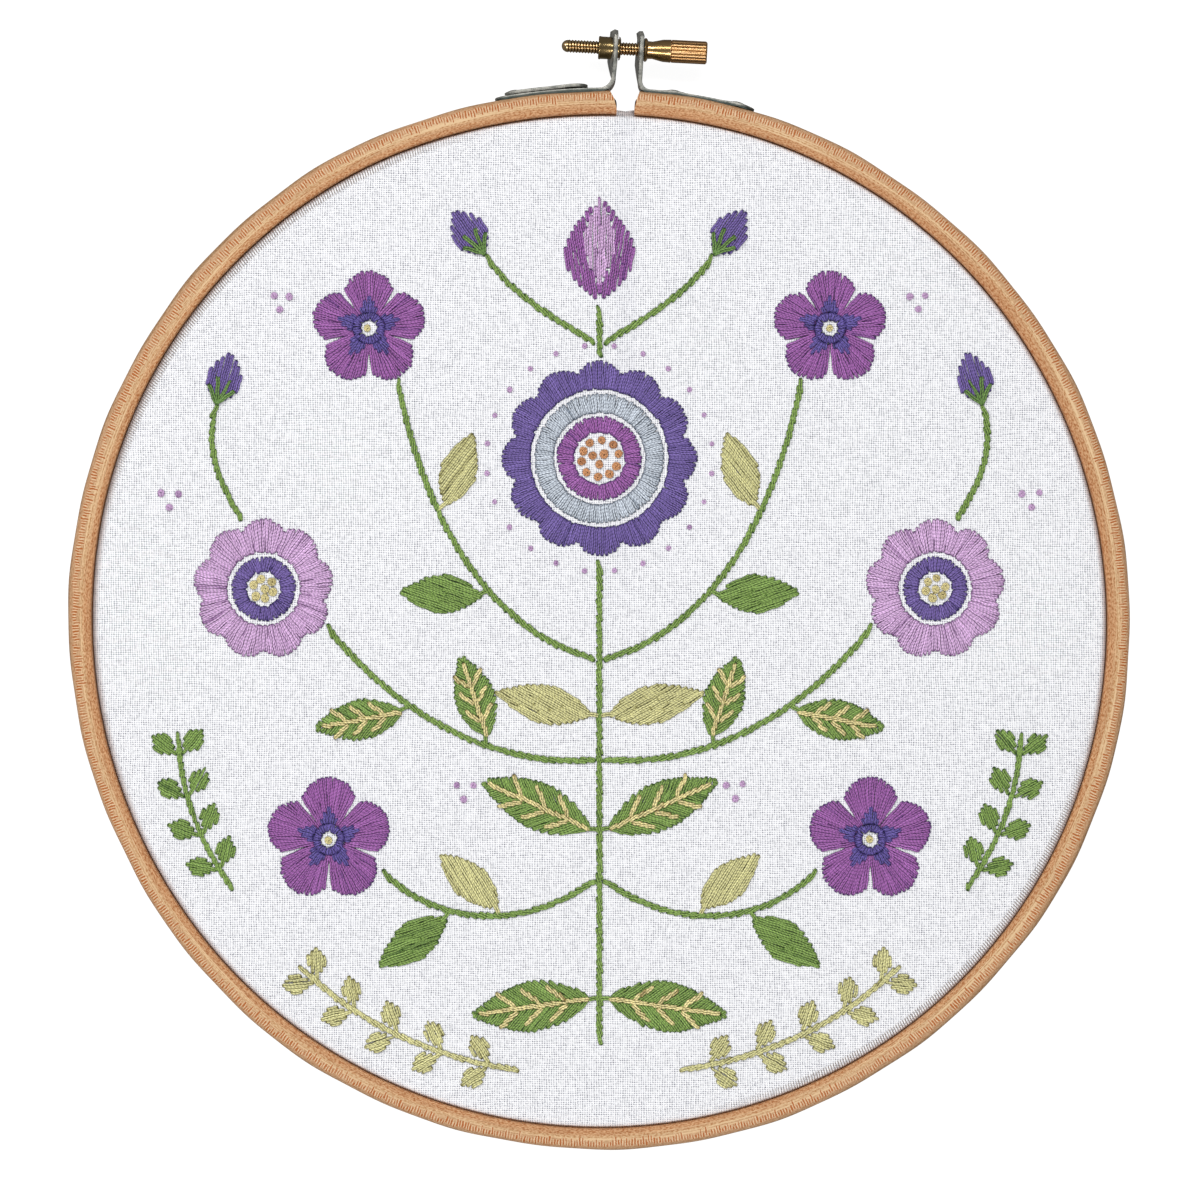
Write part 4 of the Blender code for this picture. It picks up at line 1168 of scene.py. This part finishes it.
# ---------------------------------------------------------------- rosettes
# Round flowers of radiating stitches: a scalloped outer ring, then rings in other colours with
# a line of bare cloth between them, and French knots at the heart.
ROSETTES = (    # rings: name, floss, inner and outer radius; heart: radius and count of the knots
    {"name": "rosette_centre", "sides": MIDDLE, "centre": (0, 32), "radius": 19.5, "petals": 12,
     "cut": 0.12, "inner": 13.7, "floss": "violet", "ring_slot": "thread_purple",
     "rings": (("slate", 9.1, 12.9), ("purple", 5.0, 8.4)), "heart": ((1.3, 3), (3.75, 10)),
     "knots": "ochre"},
    {"name": "rosette_side", "sides": BOTH, "centre": (67, 6), "radius": 14, "petals": 9,
     "cut": 0.14, "inner": 7.2, "floss": "lilac", "ring_slot": "thread_violet",
     "rings": (("violet", 3.3, 6.4),), "heart": ((0, 1), (2.05, 6)), "knots": "straw"},
)
GOLDEN = (sqrt(5) - 1) / 2  # spreads the starting places evenly
ALL_WAY_IN = 99             # crowding at which no stitch stops short


def petal_reach(row, angle):
    """Scalloped radius at an angle from straight up."""
    phase = (angle * row["petals"] / (2 * pi)) % 1
    return row["radius"] * (1 - row["cut"] * (1 - abs(cos(pi * phase)) ** 0.7))


def radiate(centre, inner, outer, side=1, space=STITCH_SPACE, lift=0.06, sector=(0, 2 * pi), crowding=1.35):
    """Stitches out to a radius, which is a number or follows the angle.

    They are spaced for the outer edge; the nearer the crowding is to 1, the more of them stop
    short of the inner edge."""
    outer_at = outer if callable(outer) else (lambda angle: outer)
    first, last = sector
    widest = max(outer_at(first + (last - first) * k / 40) for k in range(41))
    count = max(3, round((last - first) * widest / space))
    rows = []
    for k in range(count):
        angle = first + (last - first) * (k + 0.5) / count
        far = outer_at(angle) + needle.normal(0, 0.07)
        near = max(inner + abs(needle.normal(0, 0.06)), k * GOLDEN % 1 * widest / crowding)
        ends = [(centre[0] + reach * sin(angle), centre[1] + reach * cos(angle)) for reach in (far, near)]
        rows += flipped([(*ends[0], *ends[1], lift + 0.04 * (k % 2))], side)
    return rows


def padded(centre, inner, outer, side=1, **spread):
    """Radiating stitches over a first, lower layer of the same thread, so that no cloth shows."""
    def lower(angle):
        return (outer(angle) if callable(outer) else outer) - 0.5

    low = radiate(centre, inner + 0.15, lower, side, lift=-0.10, crowding=ALL_WAY_IN, **spread)
    return low + radiate(centre, inner, outer, side, **spread)


def knot_rings(centre, rings, side=1, size=1.0):
    """French knots in rings, each a radius and a count."""
    spots = []
    for radius, count in rings:
        for k in range(count):
            angle = 2 * pi * (k + 0.3) / count
            x, y = needle.normal(radius * np.array((cos(angle), sin(angle))), 0.12)
            spots.append((side * (centre[0] + x), centre[1] + y, size * needle.normal(1, 0.05)))
    return spots


for row in ROSETTES:
    name, centre = row["name"], row["centre"]
    petals, heart = [], []
    for side, _ in row["sides"]:
        petals += padded(centre, row["inner"], partial(petal_reach, row), side)
        heart += knot_rings(centre, row["heart"], side)
    sew(name + "_petals", petals, row["floss"], [name + ending for _, ending in row["sides"]])
    for floss, inner, outer in row["rings"]:
        ring = [stitch for side, _ in row["sides"] for stitch in padded(centre, inner, outer, side)]
        sew(f"{name}_{floss}", ring, floss)
    sew(name + "_heart", [], row["knots"], knots=heart)

# ---------------------------------------------------------------- five-petal blossoms
# Each petal is a fan of stitches from the heart to a rounded edge, with a few darker guide
# stitches laid over its base, round a small violet ring with one knot in it.
BLOSSOMS = (
    {"name": "blossom_high", "centre": (46, 58), "radius": 11.5, "petals": 5, "cut": 0.30},
    {"name": "blossom_low", "centre": (54, -44), "radius": 12.5, "petals": 5, "cut": 0.30},
)
PETAL_SHARE = 0.90
GUIDE_START = 3.1
GUIDE_REACHES = (4.5, 5.5, 6.6, 5.7, 4.4)
GUIDE_LEAN = 0.17

for row in BLOSSOMS:
    petals, guides, heart = [], [], []
    name, centre = row["name"], row["centre"]
    half = pi / row["petals"] * PETAL_SHARE
    for side, _ in BOTH:
        for petal in range(row["petals"]):
            middle = 2 * pi * petal / row["petals"]
            sector = (middle - half, middle + half)
            petals += padded(centre, 3.0, partial(petal_reach, row), side, sector=sector)
            for k, far in enumerate(GUIDE_REACHES):
                out = way(pi / 2 - middle - (k - 2) * GUIDE_LEAN)
                start, end = Vector(centre) + out * GUIDE_START, Vector(centre) + out * far
                guides += flipped([(*start, *end, OVER)], side)
        guides += radiate(centre, 1.5, 3.2, side, space=0.8, lift=0.30)
        heart += knot_rings(centre, ((0, 1),), side, size=0.85)
    sew(name + "_petals", petals, "purple", [name + ending for _, ending in BOTH])
    sew(name + "_guides", guides, "deep_violet", reverse=False)
    sew(name + "_heart", [], "straw", knots=heart)

# ---------------------------------------------------------------- tulip and buds
# Closed flowers of long satin stitches: two outer petals over a paler middle one, and small
# buds held in a green cup of four stitches.
TULIP = {"start": (0, 63.4), "length": 21, "width": 14, "fullest": 0.42}
TULIP_MIDDLE = {"start": (0, 66.4), "length": 17.8, "width": 6.2, "fullest": 0.5}
BUDS = (        # name, place, heading
    ("bud_tip", Vector((23, 72.8)), radians(55)),
    ("bud_side", Vector((76.3, 42.9)), radians(106)),
)
BUD_LENGTH = 11
BUD_WIDTH = 7
BUD_FULLEST = 0.42
CUP_STITCHES = ((-38, 4.4), (-14, 5.6), (14, 5.6), (38, 4.4))     # lean in degrees, and reach

upper, lower = drop_outline(heading=pi / 2, points=20, **TULIP)
inner_left, inner_right = drop_outline(heading=pi / 2, points=20, **TULIP_MIDDLE)
petal_rows = []
for edge, inside, lean in ((upper, inner_left, 9), (lower, inner_right, -9)):
    petal_rows += fill(edge + inside[::-1], pi / 2 + radians(lean), 7)
sew("tulip_petals", petal_rows, "purple", ["tulip"])
sew("tulip_middle", fill(inner_left + inner_right[::-1], pi / 2, 6.5), "lilac")

for name, place, heading in BUDS:
    rows, cups = [], []
    upper, lower = drop_outline(place, heading, BUD_LENGTH, BUD_WIDTH, BUD_FULLEST)
    for side, _ in BOTH:
        rows += flipped(fill(lower + upper[::-1], heading, 12), side)
        for lean, reach in CUP_STITCHES:
            out = way(heading + radians(lean))
            cups += flipped([(*(place - out * 0.3), *(place + out * reach), OVER)], side)
    sew(name, rows, "violet", [name + ending for _, ending in BOTH])
    sew(name + "_cup", cups, "deep_green", reverse=False)

# ---------------------------------------------------------------- sprigs and seed knots
# Small things sewn between the big motifs: sprigs of paired leaflets on a stem-stitched line,
# and loose French knots in a ring and in threes.
SPRIGS = (      # name, line, pairs of leaflets, floss
    ("sprig_low", ((16, -90), (32, -88), (48, -81), (59, -70)), 5, "olive"),
    ("sprig_side", ((73, -54), (79, -46), (83.5, -36), (84, -24)), 4, "green"),
)
LEAFLET = 6.4
LEAFLET_WIDTH = 3.9
LEAFLET_SPACE = 0.72
LEAFLET_LEAN = radians(46)
SEED_RING = 22.6
SEED_COUNT = 24
SEED_THREES = ((63.5, 63.5), (86, 24), (27, -34))

for name, points, pairs, floss in SPRIGS:
    rows = []
    for side, _ in BOTH:
        rows += stem_stitch(points, side, width=1.0)
        for k in range(pairs):
            place, heading = bezier(points, (k + 0.6) / pairs)
            for lean in (heading - LEAFLET_LEAN, heading + LEAFLET_LEAN):
                upper, lower = drop_outline(place + way(lean) * 0.7, lean, LEAFLET, LEAFLET_WIDTH, 0.6, 8)
                rows += flipped(fill(lower + upper[::-1], lean, 9, LEAFLET_SPACE), side)
        rows += flipped([(*place, *(place + way(heading) * 5), 0.1)], side)
    sew(name, rows, floss)

seeds = []
centre = ROSETTES[0]["centre"]
for k in range(SEED_COUNT):
    angle = 2 * pi * (k + 0.5) / SEED_COUNT
    size = 0.62 * needle.normal(1, 0.06)
    seeds.append((centre[0] + SEED_RING * sin(angle), centre[1] + SEED_RING * cos(angle), size))
for place in SEED_THREES:
    for side, _ in BOTH:
        seeds += knot_rings(place, ((1.9, 3),), side, size=0.8)
sew("seed_knots", [], "lilac", knots=seeds)
